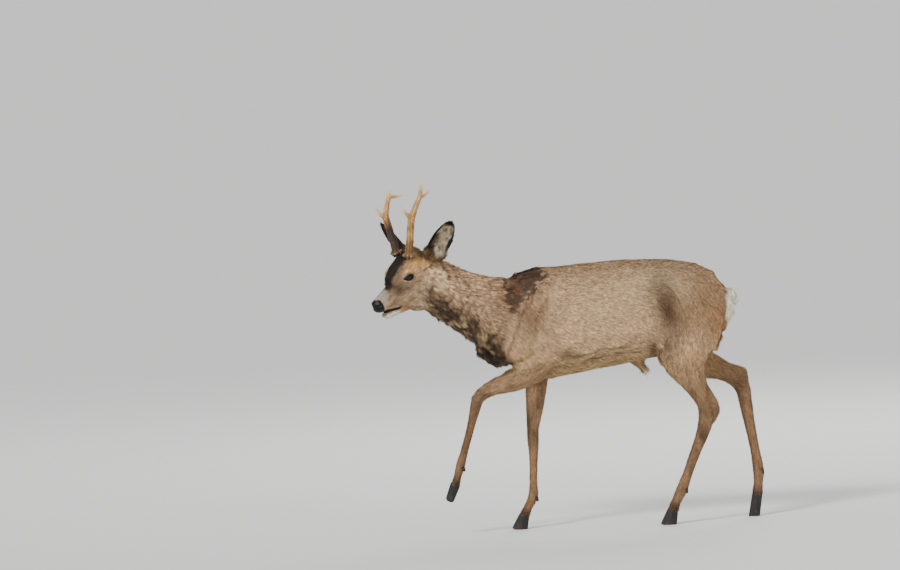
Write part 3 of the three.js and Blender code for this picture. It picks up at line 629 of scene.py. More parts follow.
class Pelt:
    """The colour at a set of points of the coat, laid on in layers, and where hide is bare."""

    def __init__(self, points, normals, weights, ground):
        self.points, self.normals, self.weights = points, normals, weights
        self.broad = grain(points * (0.5, 1, 1), 30, 1)
        self.fine = grain(points * (0.6, 1, 1), 7, 2)
        self.colour = np.tile(tone(ground), (len(points), 1))
        self.bare = np.zeros(len(points))

    def part(self, *names):
        return belongs(self.weights, *names)

    def lay(self, share, code):
        self.colour = painted(self.colour, (share, code))

    def spots(self, points, *rows):
        """Soft round spots, each given by its centre, reach, strength and colour."""
        for centre, reach, share, code in rows:
            self.lay(about(points, centre, reach) * share, code)


def mark_neck(pelt):
    """Back and flank, the dark throat, painted shade under the neck and a painted shadow at the
    brisket, and the moulting saddle over the withers.
    """
    points, down = pelt.points, -pelt.normals[:, 2]
    x, y, z = points.T
    pelt.lay(rise(z, 625, 690) * 0.8, "#a08970")
    pelt.spots(points, ((40, 0, 545), (240, 400, 50), 0.6, "#c4ae92"))
    pelt.lay(rise(-z, -480, -425) * 0.8, "#a58d6e")
    pelt.lay(rise(down, 0.5, 0.9) * 0.7, "#b5a27f")
    neck = pelt.part("neck", "chest")
    pelt.lay(neck * 0.9, "#b39c82")
    # Painted shade: the neck and chest are darker where they face down.
    pelt.lay(neck * rise(down, 0.0, 0.6) * 0.85, "#4a3a28")
    throat = rise(-(z + 0.62 * x) + (pelt.fine - 0.5) * 30, -432, -356)
    pelt.lay(neck * throat * 0.95, "#523f2a")
    # The first spot is painted shadow under the chest, at the brisket.
    pelt.spots(
        points,
        ((-266, 0, 452), (50, 90, 44), 1.2, "#1c160e"),
        ((-236, 0, 596), (44, 300, 60), 0.6, "#856a52"),
    )
    ragged = (pelt.broad - 0.5) * 0.5 + (pelt.fine - 0.5) * 0.9
    saddle = about(points, (-158, 0, 664), (54, 150, 52))
    saddle = saddle + 0.85 * about(points, (-204, 0, 604), (32, 150, 56))
    pelt.lay(rise(saddle + ragged * 0.8, 0.4, 0.62) * 0.9, "#4c3728")
    rust = about(points, (-206, 0, 616), (30, 150, 46)) * rise(grain(points, 9, 7), 0.48, 0.7)
    pelt.lay(rust * 0.8, "#8d6445")
    patchy = grain(points * (1, 1, 0.6), 12, 6)
    pelt.lay(neck * rise(patchy, 0.55, 0.72) * 0.22, "#6b5845")
    pelt.lay(neck * rise(-patchy, -0.42, -0.3) * 0.22, "#c9b497")


def mark_quarters(pelt):
    """Shoulder, painted shade before the thigh and in the groin, haunch, painted shade and
    highlight on the creases, and the white rump.
    """
    points = pelt.points
    x, y, z = points.T
    pelt.spots(
        points,
        ((-150, 0, 560), (60, 300, 64), 0.8, "#8b7154"),
        ((-178, 0, 462), (40, 200, 46), 0.6, "#b39b7b"),
    )
    # Painted shade in the fold where the flank meets the front of the thigh.
    leaning = points + ((z - 590) * 0.25)[:, None] * (1, 0, 0)
    band = about(leaning, (196, 0, 578), (42, 300, 82))
    pelt.lay(band * (0.95 + 0.4 * pelt.broad), "#58412b")
    # The first two spots are painted shade in the groin.
    pelt.spots(
        points,
        ((198, 0, 470), (24, 300, 30), 0.85, "#6b5538"),
        ((158, 0, 462), (24, 300, 30), 0.85, "#6b5538"),
        ((282, 0, 582), (70, 300, 80), 0.95, "#91724f"),
        ((262, 0, 455), (46, 300, 36), 0.7, "#bfa687"),
        ((345, 0, 530), (40, 300, 70), 0.85, "#9c7752"),
    )
    # Painted shade in the creases and painted highlight on their ridges.
    painted_fold_light = folds(points, pelt.weights)
    pelt.lay(rise(-painted_fold_light, 0.8, 3.2) * 0.65, "#5c4a34")
    pelt.lay(rise(painted_fold_light, 0.6, 2.4) * 0.35, "#ccb795")
    patch = ((y / 62) ** 2 + ((z - 560) / 52) ** 2) ** 0.5 + (pelt.fine - 0.5) * 0.2
    pelt.lay(fall(patch, 0.8, 1.05) * rise(x, 334, 350), "#f0ece0")


def mark_legs(pelt):
    """Browner down the cannons, dark above the hooves and on the brush outside each hind cannon,
    painted shade down the near fore cannon.
    """
    points = pelt.points
    legs = sum(pelt.part(f"{leg}_upper") for leg in LIMBS)
    shanks = sum(pelt.part(f"{leg}_{part}") for leg in LIMBS for part in ("cannon", "pastern"))
    pelt.lay(legs * 0.6, "#b0977a")
    hind = pelt.part("hindleg_left_upper", "hindleg_right_upper")
    pelt.lay(hind * rise(-points[:, 2], -430, -330) * 0.5, "#957b5c")
    pelt.lay(shanks * 0.9, "#a08467")
    pelt.lay((legs + shanks) * rise(-pelt.normals[:, 0], 0.35, 0.9) * 0.3, "#5c4631")
    brindle = rise(grain(points * (1, 1, 0.35), 16, 9), 0.5, 0.75)
    pelt.lay((legs + shanks) * brindle * 0.3, "#5f4a35")
    for knee, _, coronet in (joints[1:] for joints in LIMBS.values()):
        pelt.spots(
            points,
            (coronet, (22, 30, 16), 0.8, "#463729"),
            (knee, (26, 40, 24), 0.4, "#604a33"),
        )
    # The first spot is painted shade down the near fore cannon.
    pelt.spots(
        points,
        ((-338, -70, 240), (50, 60, 110), 0.5, "#6b543b"),
        *((brush, (15, 12, 24), 0.6, "#3d2f22") for brush in HIND_BRUSHES),
        ((126, 0, 400), (22, 22, 16), 0.8, "#cfc2a2"),
    )


def mark_face(pelt):
    """Golden brows, a dark bridge, a pale muzzle and chin, black nose, lips and lids, painted shade
    above each eye and under the jaw.
    """
    local = in_head(pelt.points)
    hx, hy, hz = local.T
    head = pelt.part("face", "head", "jaw")
    streaks = grain(local * (0.35, 1, 1), 5.5, 10)
    pelt.lay(head * 0.95, "#cbb69c")
    pelt.lay(head * rise(streaks, 0.5, 0.75) * 0.35, "#8a745d")
    fleck = rise(grain(local * (0.5, 1, 1), 8, 18), 0.5, 0.75)
    fleck = fleck * rise(-hz, 12, 30) * rise(-hx, -60, -20)
    pelt.lay(head * fleck * 0.55, "#8f7861")
    crown = head * rise(hz, 4, 26) * fall(np.abs(hy), 20, 36) * rise(-hx, 30, 46)
    pelt.lay(crown * 0.85, "#463320")
    for hand in (1, -1):
        gold = about(local, (-20, hand * 42, 22), (30, 22, 18))
        gold = gold + about(local, (-56, hand * 44, 12), (26, 22, 22))
        pelt.lay(gold, "#ecc88a")
        pelt.spots(
            local,
            ((-66, hand * 42, -30), (18, 26, 36), 0.8, "#e6d6bc"),
            ((42, hand * 28, -20), (30, 22, 21), 1, "#6e5944"),
            ((70, hand * 22, -44), (22, 14, 12), 0.8, "#a8937b"),
            ((-33, hand * 46, 3), (3.5, 14, 8), 0.95, "#5f4830"),
            ((-60, hand * 30, 22), (18, 18, 12), 0.8, "#4a3420"),
        )
    half_band = 13 + 6 * rise(-hx, -52, 0)
    bridge = fall(np.abs(hy) + (streaks - 0.5) * 9, half_band - 5, half_band + 6)
    bridge = bridge * rise(hx, -48, -34)
    bridge = bridge * fall(hx + (pelt.fine - 0.5) * 10, 62, 74) * rise(hz + 0.35 * hx, -2, 10)
    halo = fall(np.abs(hy) + (streaks - 0.5) * 12, half_band, half_band + 16)
    halo = halo * rise(hx, -48, -34)
    halo = halo * fall(hx, 56, 74) * rise(hz + 0.35 * hx, -8, 8)
    pelt.lay(halo * head * 0.6, "#7b6347")
    pelt.lay(bridge * head * 0.97, "#35281b")
    pale = rise(hx + (pelt.fine - 0.5) * 8, 60, 74) * rise(hz + (hx - 60) * 0.45, -26, -10)
    pelt.lay(pale * head * 0.85, "#b3aca0")
    pelt.lay(about(local, (34, 0, -64), (30, 60, 16)) * head * 0.5, "#8c755a")
    chin = fall(hz, -70, -63) * rise(hx, 54, 64)
    pelt.lay(chin * head, "#f2ede2")
    pelt.spots(local, *(((48, side, -70), (12, 14, 10), 0.9, "#b08f60") for side in (20, -20)))
    above_mouth = mouth_side(local)[0]
    lip_high = 3 + 5 * rise(hx, 60, 95)
    lip = rise(above_mouth, -5, -2.5) * fall(above_mouth, lip_high, lip_high + 3)
    lip = lip * rise(hx, 50, 60) * head * (hz < -40)
    pelt.lay(lip, "#17110d")
    nose = rise(hx + (pelt.fine - 0.5), 95.5, 98) * rise(-hz, 14, 17) * rise(hz, -58, -52) * head
    pelt.lay(nose, "#0c0a09")
    pelt.bare = np.maximum(nose, lip * rise(hx, 56, 66))
    for hand in (1, -1):
        gap, _, _, _, high = lid_distance(local, hand)
        pelt.lay(hump(gap - 6.2, 2.8) * (0.1 + 0.7 * rise(-high, -1, 3)), "#eadbbd")
        # Painted shade in the crease above the eye.
        pelt.lay(hump(gap - 5.0, 2.6) * rise(high, 1, 5) * 0.75, "#5d452b")
        lid = fall(gap, 2.2, 3.4)
        tear = about(local, (23, hand * 34, -10), (7, 10, 2.2))
        pelt.lay(np.maximum(lid, tear * 0.8), "#120d0a")
        pelt.bare = np.maximum(pelt.bare, lid)
    # Painted shade under the jaw, where it faces down.
    below = rise(-pelt.normals @ head_way(0, 0, 1), 0.3, 0.8)
    pelt.lay(pelt.part("jaw") * below * rise(-hx, -30, 10) * 0.6, "#51412f")
    pelt.spots(pelt.points, ((-377, -90, 588), (10, 60, 30), 0.8, "#43352a"))


def mark_ears(pelt):
    """Black-rimmed, brown behind, mottled grey-white inside, dark at the front of the root."""
    points = pelt.points
    for ear in EARS:
        own = pelt.part(ear)
        height, rim, _, opening = ear_place(points, ear)
        front_rim = -rim if ear == "ear_left" else rim
        edge = rise(np.abs(rim) + (pelt.fine - 0.5) * 0.1, 0.6, 0.76) + rise(height, 0.78, 0.88)
        pelt.lay(own, "#6a563f")
        floor = height + 0.12 * (grain(points, 9, 17) - 0.5) - 0.22 * rise(front_rim, -0.4, 0.8)
        inside = rise(pelt.normals @ opening, -0.05, 0.35) * rise(floor, 0.1, 0.2)
        pelt.lay(own * inside, "#c2b7a3")
        mottle = rise(grain(points * (1, 1, 0.6), 6.5, 14), 0.5, 0.68)
        pelt.lay(own * inside * mottle * 0.65, "#6c5f50")
        pelt.lay(own * np.clip(edge, 0, 1) * rise(height, 0.1, 0.3), "#19130e")
        root_front = own * rise(front_rim, 0.1, 0.6)
        pelt.lay(root_front * fall(height, 0.5, 0.7) * 0.8, "#2e2217")


def hair_streaks(points, weights):
    """About 0 in the middle: darker and lighter streaks that run with the hair."""
    return locks(points, weights, 3.2, 2.6, 12) + 0.5 * locks(points, weights, 6.5, 2, 13) - 0.75


def markings(points, normals, weights):
    """Linear colour of hide and hair, and how bare and wet the hide is, at each point."""
    pelt = Pelt(points, normals, weights, "#b9a388")
    for mark in (mark_neck, mark_quarters, mark_legs, mark_face, mark_ears):
        mark(pelt)
    depth = 0.6 + 0.5 * pelt.part("neck", "chest") + 0.3 * pelt.part("jaw")
    streaked = 1 + depth * hair_streaks(points, weights)
    colour = pelt.colour * (0.92 + 0.16 * pelt.broad)[:, None] * streaked[:, None]
    return np.clip(colour, 0, 1), np.clip(pelt.bare, 0, 1)


class Paint:
    """A socket of a material's nodes. Arithmetic on it adds Math nodes; node() adds any other."""

    def __init__(self, tree, socket=None):
        self.tree, self.socket = tree, socket

    def node(self, kind, settings=None, out=0, **sockets):
        made = self.tree.nodes.new("ShaderNode" + kind)
        for name, value in (settings or {}).items():
            if name == "stops":
                ramp = made.color_ramp.elements
                while len(ramp) < len(value):
                    ramp.new(0.5)
                for element, (place, colour) in zip(ramp, value):
                    element.position = place
                    element.color = (*colour, 1)
            else:
                setattr(made, name, value)
        for name, value in sockets.items():
            key = int(name[1:]) if name[0] == "_" else name.replace("_", " ")
            if isinstance(value, Paint):
                self.tree.links.new(value.socket, made.inputs[key])
            else:
                made.inputs[key].default_value = value
        return Paint(self.tree, made.outputs[out])

    def layer(self, name, out=0):
        return self.node("Attribute", {"attribute_name": name}, out=out)

    def shades(self, least, spread):
        """A colour whose red, green and blue each start at their least and rise with this."""
        red, green, blue = (low + self * wide for low, wide in zip(least, spread))
        return self.node("CombineColor", {"mode": "RGB"}, Red=red, Green=green, Blue=blue)

    def maths(self, operation, a, b):
        return self.node("Math", {"operation": operation}, _0=a, _1=b)

    def __add__(self, other):
        return self.maths("ADD", self, other)

    def __sub__(self, other):
        return self.maths("SUBTRACT", self, other)

    def __rsub__(self, other):
        return self.maths("SUBTRACT", other, self)

    def __mul__(self, other):
        return self.maths("MULTIPLY", self, other)

    def __pow__(self, other):
        return self.maths("POWER", self, other)

    __radd__, __rmul__ = __add__, __mul__

    def mix(self, share, a, b, blend="MIX"):
        kind = {"data_type": "RGBA", "blend_type": blend}
        return self.node("Mix", kind, out=2, _0=share, _6=a, _7=b)

    def shader(self, **sockets):
        surface = self.tree.nodes["Principled BSDF"]
        for name, value in sockets.items():
            socket = surface.inputs[name.replace("_", " ")]
            if isinstance(value, Paint):
                self.tree.links.new(value.socket, socket)
            else:
                socket.default_value = value


def new_paint(name):
    material = bpy.data.materials.new(name)
    material.use_nodes = True
    return material, Paint(material.node_tree)


def colour_layer(mesh, name, values):
    layer = mesh.attributes.new(name, "FLOAT_COLOR", "POINT")
    full = np.ones((len(values), 4), np.float32)
    full[:, :3] = values
    layer.data.foreach_set("color", full.ravel())


def value_layer(mesh, name, values):
    layer = mesh.attributes.new(name, "FLOAT", "POINT")
    layer.data.foreach_set("value", np.asarray(values, np.float32))


points = places(skin.data) - body_zero
normals = outward(skin.data)
weights = follow_lines(points)
tint, bare = markings(points, normals, weights)
colour_layer(skin.data, "Tint", tint * (0.75 + 0.25 * bare)[:, None])
value_layer(skin.data, "Bare", bare)

hide, paint = new_paint("hide_under_hair")
coords = paint.node("TexCoord", out="Object")
tint_in = paint.layer("Tint")
bare_in = paint.layer("Bare", "Fac")
speckle = paint.node("TexNoise", Vector=coords, Scale=520.0, Detail=3.0)
pebble = paint.node("TexVoronoi", Vector=coords, Scale=900.0)
relief = speckle * (1 - bare_in) + pebble * bare_in * 0.6
paint.shader(
    Base_Color=paint.mix(1.0, tint_in, speckle.shades((0.5,) * 3, (1.0,) * 3), "MULTIPLY"),
    Roughness=0.9 - bare_in * 0.48,
    Normal=paint.node("Bump", Height=relief, Strength=0.3, Distance=0.0004),
    Specular_IOR_Level=0.3,
)
skin.data.materials.append(hide)
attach(skin, "root")
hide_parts(*FLESH)


# ---- Hair ----
# A winter coat of fine flat tufts, rooted in the hide and lying back along the body. Each is a
# thin tapered blade in two joints, dark at its root and tip; neighbours lean together into locks.
TUFTS_PER_SQUARE_METRE = 330000
PATCH = 0.003  # side of the square that a blade takes in the UV map
# Lengths in millimetres: inside the ears, on the nose, and where hair is too short to clump.
EAR_HAIR, NOSE_HAIR, SHORT_HAIR = 11, 2.2, 9
# Centre and reach of the white rump, where hair is denser, and of the tuft under the belly.
WHITE_RUMP, DENSER = ((362, 0, 562), (26, 70, 60)), 1.6
SHEATH, SHEATH_HAIR = ((126, 0, 404), (18, 18, 14)), 16
LOCK_SIZE, WIDER_ON_NECK = 6, 5
TWIST = 0.45  # how far a blade turns about its own length, in radians
# Each piece: the lines it grows on, where along the deer it starts and ends, how wide a blade is,
# and how much closer than usual the blades stand.
LEG_LINES = tuple(f"{leg}_{part}" for leg in LIMBS for part, _, _ in LIMB_PARTS)
COAT_PIECES = {
    "coat_head": (("face", "head", "jaw"), -999, 999, 0.62, 3.4),
    "coat_ears": (("ear_left", "ear_right"), -999, 999, 0.7, 2.6),
    "coat_neck": (("neck", "chest"), -999, 999, 1.4, 1.7),
    "coat_barrel_front": (("trunk",), -999, 0, 1.05, 1.45),
    "coat_barrel_middle": (("trunk",), 0, 160, 1.05, 1.45),
    "coat_barrel_rear": (("trunk", "rump", "tail"), 160, 999, 1.05, 1.45),
    "coat_quarters": (("shoulder", "thigh"), -999, 999, 1.0, 1.42),
    "coat_legs": (LEG_LINES, -999, 999, 0.85, 1.3),
}

hair, paint = new_paint("winter_hair")
tint_in = paint.layer("Tint")
reach_in = paint.layer("Reach", "Fac")
luck_in = paint.layer("Luck", "Fac")
banding = paint.node(
    "ValToRGB",
    {
        "stops": [
            (0.0, (0.42, 0.38, 0.36)),
            (0.45, (0.95, 0.95, 0.95)),
            (0.75, (1.18, 1.15, 1.08)),
            (1.0, (0.8, 0.76, 0.72)),
        ]
    },
    Fac=reach_in,
)
own = luck_in.shades((0.62, 0.62, 0.62), (0.8, 0.78, 0.74))
paint.shader(
    Base_Color=paint.mix(1.0, paint.mix(1.0, tint_in, banding, "MULTIPLY"), own, "MULTIPLY"),
    Roughness=0.78 - reach_in * 0.2,
    Specular_IOR_Level=0.35,
)

mesh = skin.data
mesh.calc_loop_triangles()
corners = read(mesh.loop_triangles, "vertices", 3, np.int32)
loops = read(mesh.loop_triangles, "loops", 3, np.int32)
uv = read(mesh.uv_layers["OFBake"].data, "uv", 2)
hair_length = weights @ np.array([line[4] for line in lines])
lie = weights @ np.array([unit(line[5]) for line in lines])
first, second, third = (points[corners[:, k]] for k in range(3))
area = np.linalg.norm(np.cross(second - first, third - first), axis=1) / 2 * 1e-6
local = in_head(points)
hx, hy, hz = local.T
bald = np.maximum(bare, fall(lid_gap(local), 1.2, 2.4))
# No hair grows inside the mouth.
palate = (np.abs(mouth_side(local)[0] + 1) < 5) & (np.abs(hy) < 13) & (hx > 60) & (hz < -44)
bald = np.maximum(np.maximum(bald, palate), in_hooves(points) > 0.5)


def drift(points, size, seed):
    """A random way at each point, each part of it from 0 to 1, that changes over about size."""
    return np.stack([grain(points, size, seed + k) for k in range(3)], 1)


def along_hide(way, normal):
    """What is left of a way without its part that stands off the hide."""
    return way - normal * (way * normal).sum(1, keepdims=True)


def grow(name, own_lines, start, end, blade_width, budget):
    mine = np.isin(line_names[weights.argmax(1)], own_lines)
    mine &= (points[:, 0] >= start) & (points[:, 0] < end)
    thick = area * mine[corners].mean(1) * (1 - bald[corners].mean(1)).clip(0, 1)
    thick *= 1 + DENSER * about(points[corners].mean(1), *WHITE_RUMP)
    total = int(thick.sum() * TUFTS_PER_SQUARE_METRE * budget)
    pick = np.searchsorted(np.cumsum(thick) / thick.sum(), np.sort(chance.random(total)))
    pick = np.minimum(pick, len(thick) - 1)
    r = np.sqrt(chance.random(total))
    s = chance.random(total)
    bary = np.stack([1 - r, r * (1 - s), r * s], 1)

    def spread(values):
        return (values[corners[pick]] * bary[..., None]).sum(1)

    root = spread(points)
    normal = unit(spread(normals))
    root_uv = (uv[loops[pick]] * bary[..., None]).sum(1)
    root_weights = spread(weights)
    length = spread(hair_length[:, None])[:, 0]
    way = spread(lie)
    colour, _ = markings(root, normal, root_weights)

    # Hair is longer inside the ears, on the brushes, at the coronets and around the dewclaws, and
    # hangs in a tuft under the belly; it is shorter around the eyes and on the nose.
    lift = np.full(total, HAIR_LIFT)
    for ear in EARS:
        height, _, _, opening = ear_place(root, ear)
        inner = (belongs(root_weights, ear) > 0.5) & (normal @ opening > 0.15)
        length = np.where(inner, EAR_HAIR * (1 - 0.5 * np.clip(height, 0, 1)), length)
        lift = np.where(inner, 0.28, lift)
    own_local = in_head(root)
    length = length * (0.3 + 0.7 * rise(lid_gap(own_local), 2, 16))
    length = np.where(own_local[:, 0] > 92, NOSE_HAIR, length)
    neck = belongs(root_weights, "neck", "chest")
    brush = sum(about(root, place, (12, 12, 22)) for place in HIND_BRUSHES)
    length = length * (1 + 1.1 * brush)
    sheath = about(root, *SHEATH)
    length = length + SHEATH_HAIR * sheath
    way = way + np.array((0.5, 0, -2.6)) * sheath[:, None]
    lift = lift + 0.5 * sheath
    for leg, (top, _) in FOOT_ENDS.items():
        coronet = about(root, top, (26, 30, 8))
        for claw in ("outer", "inner"):
            spur = np.mean(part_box(f"dewclaw_{leg}_{claw}"), axis=0) * 1000 - body_zero
            coronet = np.maximum(coronet, 0.8 * about(root, spur + (0, 0, 6), (13, 11, 13)))
        length = length * (1 + 0.9 * coronet)
        lift = lift + 0.3 * coronet

    # Locks: hairs of one small cell share a lean and gather at their tips.
    cell = LOCK_SIZE + WIDER_ON_NECK * neck
    bend = drift(root, 21, 61) * 9
    key = np.floor((root + bend) / cell[:, None])
    lean = drift(key * 3.7, 1.0, 21) - 0.5
    stray = chance.normal(0, 1, (total, 3))
    calm = np.where(length < SHORT_HAIR, 0.5, 1.0)[:, None]
    wave = drift(root, 34, 31) - 0.5
    droop = (0, 0, -1) + normal * normal[:, 2:]
    way = along_hide(unit(way), normal)
    way = way + droop * (1 - np.linalg.norm(way, axis=1))[:, None]
    way = unit(way) + (lean * (0.16 + 0.5 * neck[:, None]) + stray * 0.1 + wave * 0.35) * calm
    way = unit(along_hide(way, normal))
    length = length * (0.72 + 0.45 * chance.random(total))
    lock = hair_streaks(root, root_weights)
    raised = lift * (0.6 + 0.6 * chance.random(total)) * (1 + (0.35 + 0.6 * neck) * lock)
    centre = (key + 0.5) * cell[:, None] + way * length[:, None] * 0.8
    tip = root + way * length[:, None] + normal * (length * raised * 0.85)[:, None]
    gather = 0.05 + 0.16 * neck
    pull = (centre - bend - tip) * np.where(length < SHORT_HAIR, 0.03, gather)[:, None]
    tip = tip + along_hide(pull, normal)
    middle = root + way * (length * 0.5)[:, None] + normal * (length * raised * 0.62)[:, None]
    base = root - normal * 0.5

    width = blade_width * (0.7 + 0.6 * chance.random(total)) * np.clip(length / 12, 0.6, 1.3)
    side = np.cross(normal, way)
    twist = chance.normal(0, TWIST, total)[:, None]
    side = unit(side * np.cos(twist) + normal * np.sin(twist)) * width[:, None] / 2
    blades = np.stack([base - side * 0.8, base + side * 0.8, middle - side, middle + side, tip], 1)
    faces = np.array([(0, 3, 1), (0, 2, 3), (2, 4, 3)])
    faces = (np.arange(total)[:, None, None] * 5 + faces).reshape(-1, 3)

    coat = bpy.data.meshes.new(name)
    coat.vertices.add(total * 5)
    put_places(coat, blades.reshape(-1, 3) + body_zero)
    coat.loops.add(faces.size)
    coat.loops.foreach_set("vertex_index", faces.astype(np.int32).ravel())
    coat.polygons.add(len(faces))
    coat.polygons.foreach_set("loop_start", np.arange(0, faces.size, 3, dtype=np.int32))
    coat.polygons.foreach_set("use_smooth", np.ones(len(faces), bool))
    patch = np.array([(-0.5, -0.5), (0.5, -0.5), (-0.5, 0.1), (0.5, 0.1), (0, 0.5)]) * PATCH
    patches = (root_uv[:, None] + patch).reshape(-1, 2)[faces.ravel()]
    layer = coat.uv_layers.new(name="OFBake")
    layer.data.foreach_set("uv", patches.astype(np.float32).ravel())
    colour_layer(coat, "Tint", np.repeat(colour, 5, 0))
    value_layer(coat, "Reach", np.tile((0, 0, 0.55, 0.55, 1), total))
    value_layer(coat, "Luck", np.repeat(chance.random(total) ** 1.3, 5))
    coat.update(calc_edges=True)
    flat = unit(np.cross(side, tip - base))
    flat = flat * np.sign((flat * normal).sum(1, keepdims=True) + 1e-9)
    soft = unit(normal * 0.75 + flat * 0.45)
    coat.normals_split_custom_set_from_vertices(np.repeat(soft, 5, 0).astype(np.float32))
    coat.materials.append(hair)
    return mesh_object(name, coat)


for name, sizes in COAT_PIECES.items():
    piece = grow(name, *sizes)
    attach(piece, "root")


# ---- Eyes ----
# Wet dark eyeballs with a brown iris, a long level pupil and a clear bulge of cornea over them.
# Each is a smooth glossy ball in the bed behind its lids, which cover all but its front.
BALL_SIZE, CORNEA_BULGE = 0.985, 0.035
eye_gloss, paint = new_paint("wet_eye")
sight_in = paint.layer("Sight")
across = paint.node("SeparateXYZ", out=0, Vector=sight_in)
tall = paint.node("SeparateXYZ", out=1, Vector=sight_in)
iris = (across * across + tall * tall) ** 0.5
pupil = ((across * 0.13) ** 2.0 + (tall * 0.26) ** 2.0) ** 0.5
streaks = paint.node("TexNoise", Vector=sight_in, Scale=1.6, Detail=4.0)
browns = {"stops": [(0.3, (0.004, 0.0025, 0.0015)), (0.75, (0.022, 0.011, 0.005))]}
iris_colour = paint.node("ValToRGB", browns, Fac=streaks)
in_pupil = paint.node("MapRange", Value=pupil, From_Min=0.85, From_Max=1.05)
past_iris = paint.node("MapRange", Value=iris, From_Min=10.5, From_Max=12.0)
ball = paint.mix(in_pupil, (0.001, 0.001, 0.0015, 1), iris_colour)
paint.shader(
    Base_Color=paint.mix(past_iris, ball, (0.006, 0.004, 0.003, 1)),
    Roughness=0.07,
    Specular_IOR_Level=0.34,
    Coat_Weight=0.05,
    Coat_Roughness=0.02,
)
for name, hand in (("eye_left", 1), ("eye_right", -1)):
    bpy.ops.object.select_all(action="DESELECT")
    centre = head_zero + head_turn @ eye_place(hand)
    bpy.ops.mesh.primitive_uv_sphere_add(segments=56, ring_count=36, radius=EYEBALL / 1000)
    eye = bpy.context.object
    eye.name = name + "_ball"
    axis = head_turn @ (EYE_AXIS * (1, hand, 1))
    level = unit(head_way(1, 0, 0.12) - axis * (head_way(1, 0, 0.12) @ axis))
    tall_way = np.cross(level, axis) * hand
    ball_points = places(eye.data)
    facing = unit(ball_points) @ axis
    bulge = 1 + CORNEA_BULGE * rise(facing, 0.72, 0.95)
    ball_points = ball_points * bulge[:, None] * BALL_SIZE
    seen = np.stack([ball_points @ level, ball_points @ tall_way, facing], 1)
    layer = eye.data.attributes.new("Sight", "FLOAT_VECTOR", "POINT")
    layer.data.foreach_set("vector", seen.astype(np.float32).ravel())
    put_places(eye.data, ball_points + centre)
    bpy.ops.object.shade_smooth()
    eye.data.uv_layers[0].name = "OFBake"
    eye.data.materials.append(eye_gloss)
    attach(eye, "root")
    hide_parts(name)


# ---- Antlers ----
# Hard bare bone rooted in the skull, in one piece on each side: a burr, a beam and two tines.
# Pearls crowd the foot of the beam, gutters run up it, and the tips are rubbed smooth and pale.
ANTLERS = {
    "left": {
        "beam": [
            *((-34, 25.5, 44), (-50, 36, 92), (-68, 46, 138)),
            *((-97, 53, 167), (-112, 56, 180), (-129, 60, 214)),
        ],
        "front_tine": [(-66, 46, 136), (-51, 47, 165), (-47, 46, 181)],
        "rear_tine": [(-107, 55, 175), (-134, 54, 170.5), (-144, 53, 172)],
    },
    "right": {
        "beam": [
            *((-34, -24.5, 45), (-48, -37, 90), (-58, -46, 134)),
            *((-85, -53, 161), (-99, -56, 172), (-107, -61, 193)),
        ],
        "front_tine": [(-57, -46, 132), (-44, -47, 158), (-39, -46, 172)],
        "rear_tine": [(-96, -56, 170), (-127, -55, 156), (-140, -54, 153)],
    },
}
# How far up the beam each branch springs from it.
BRANCH_STARTS = {"beam": 0.0, "front_tine": 102.0, "rear_tine": 165.0}
# How high the fork is, where the dark foot of the beam starts and ends to fade, and its strength;
# on the far right antler the stronger, higher dark foot is partly painted shade.
ANTLER_TONES = {"left": (140, 8, 60, 0.4), "right": (128, 62, 92, 0.95)}
ANTLER_VOXEL = 0.0011
GUTTERS, GUTTER_DEPTH, PEARL_HEIGHT, BURR_KNOBS = 7, 0.75, 1.25, 5.0
antler_bone, paint = new_paint("antler_bone")
coords = paint.node("TexCoord", out="Object")
tint_in = paint.layer("Tint")
worn_in = paint.layer("Worn", "Fac")
pores = paint.node("TexNoise", Vector=coords, Scale=900.0, Detail=4.0)
stain = paint.node("TexNoise", Vector=coords, Scale=120.0, Detail=3.0)
mottle = stain.shades((0.7, 0.66, 0.6), (0.6, 0.64, 0.7))
paint.shader(
    Base_Color=paint.mix(1.0, tint_in, mottle, "MULTIPLY"),
    Roughness=0.62 - worn_in * 0.25,
    Normal=paint.node("Bump", Height=pores + stain, Strength=0.4, Distance=0.0006),
)
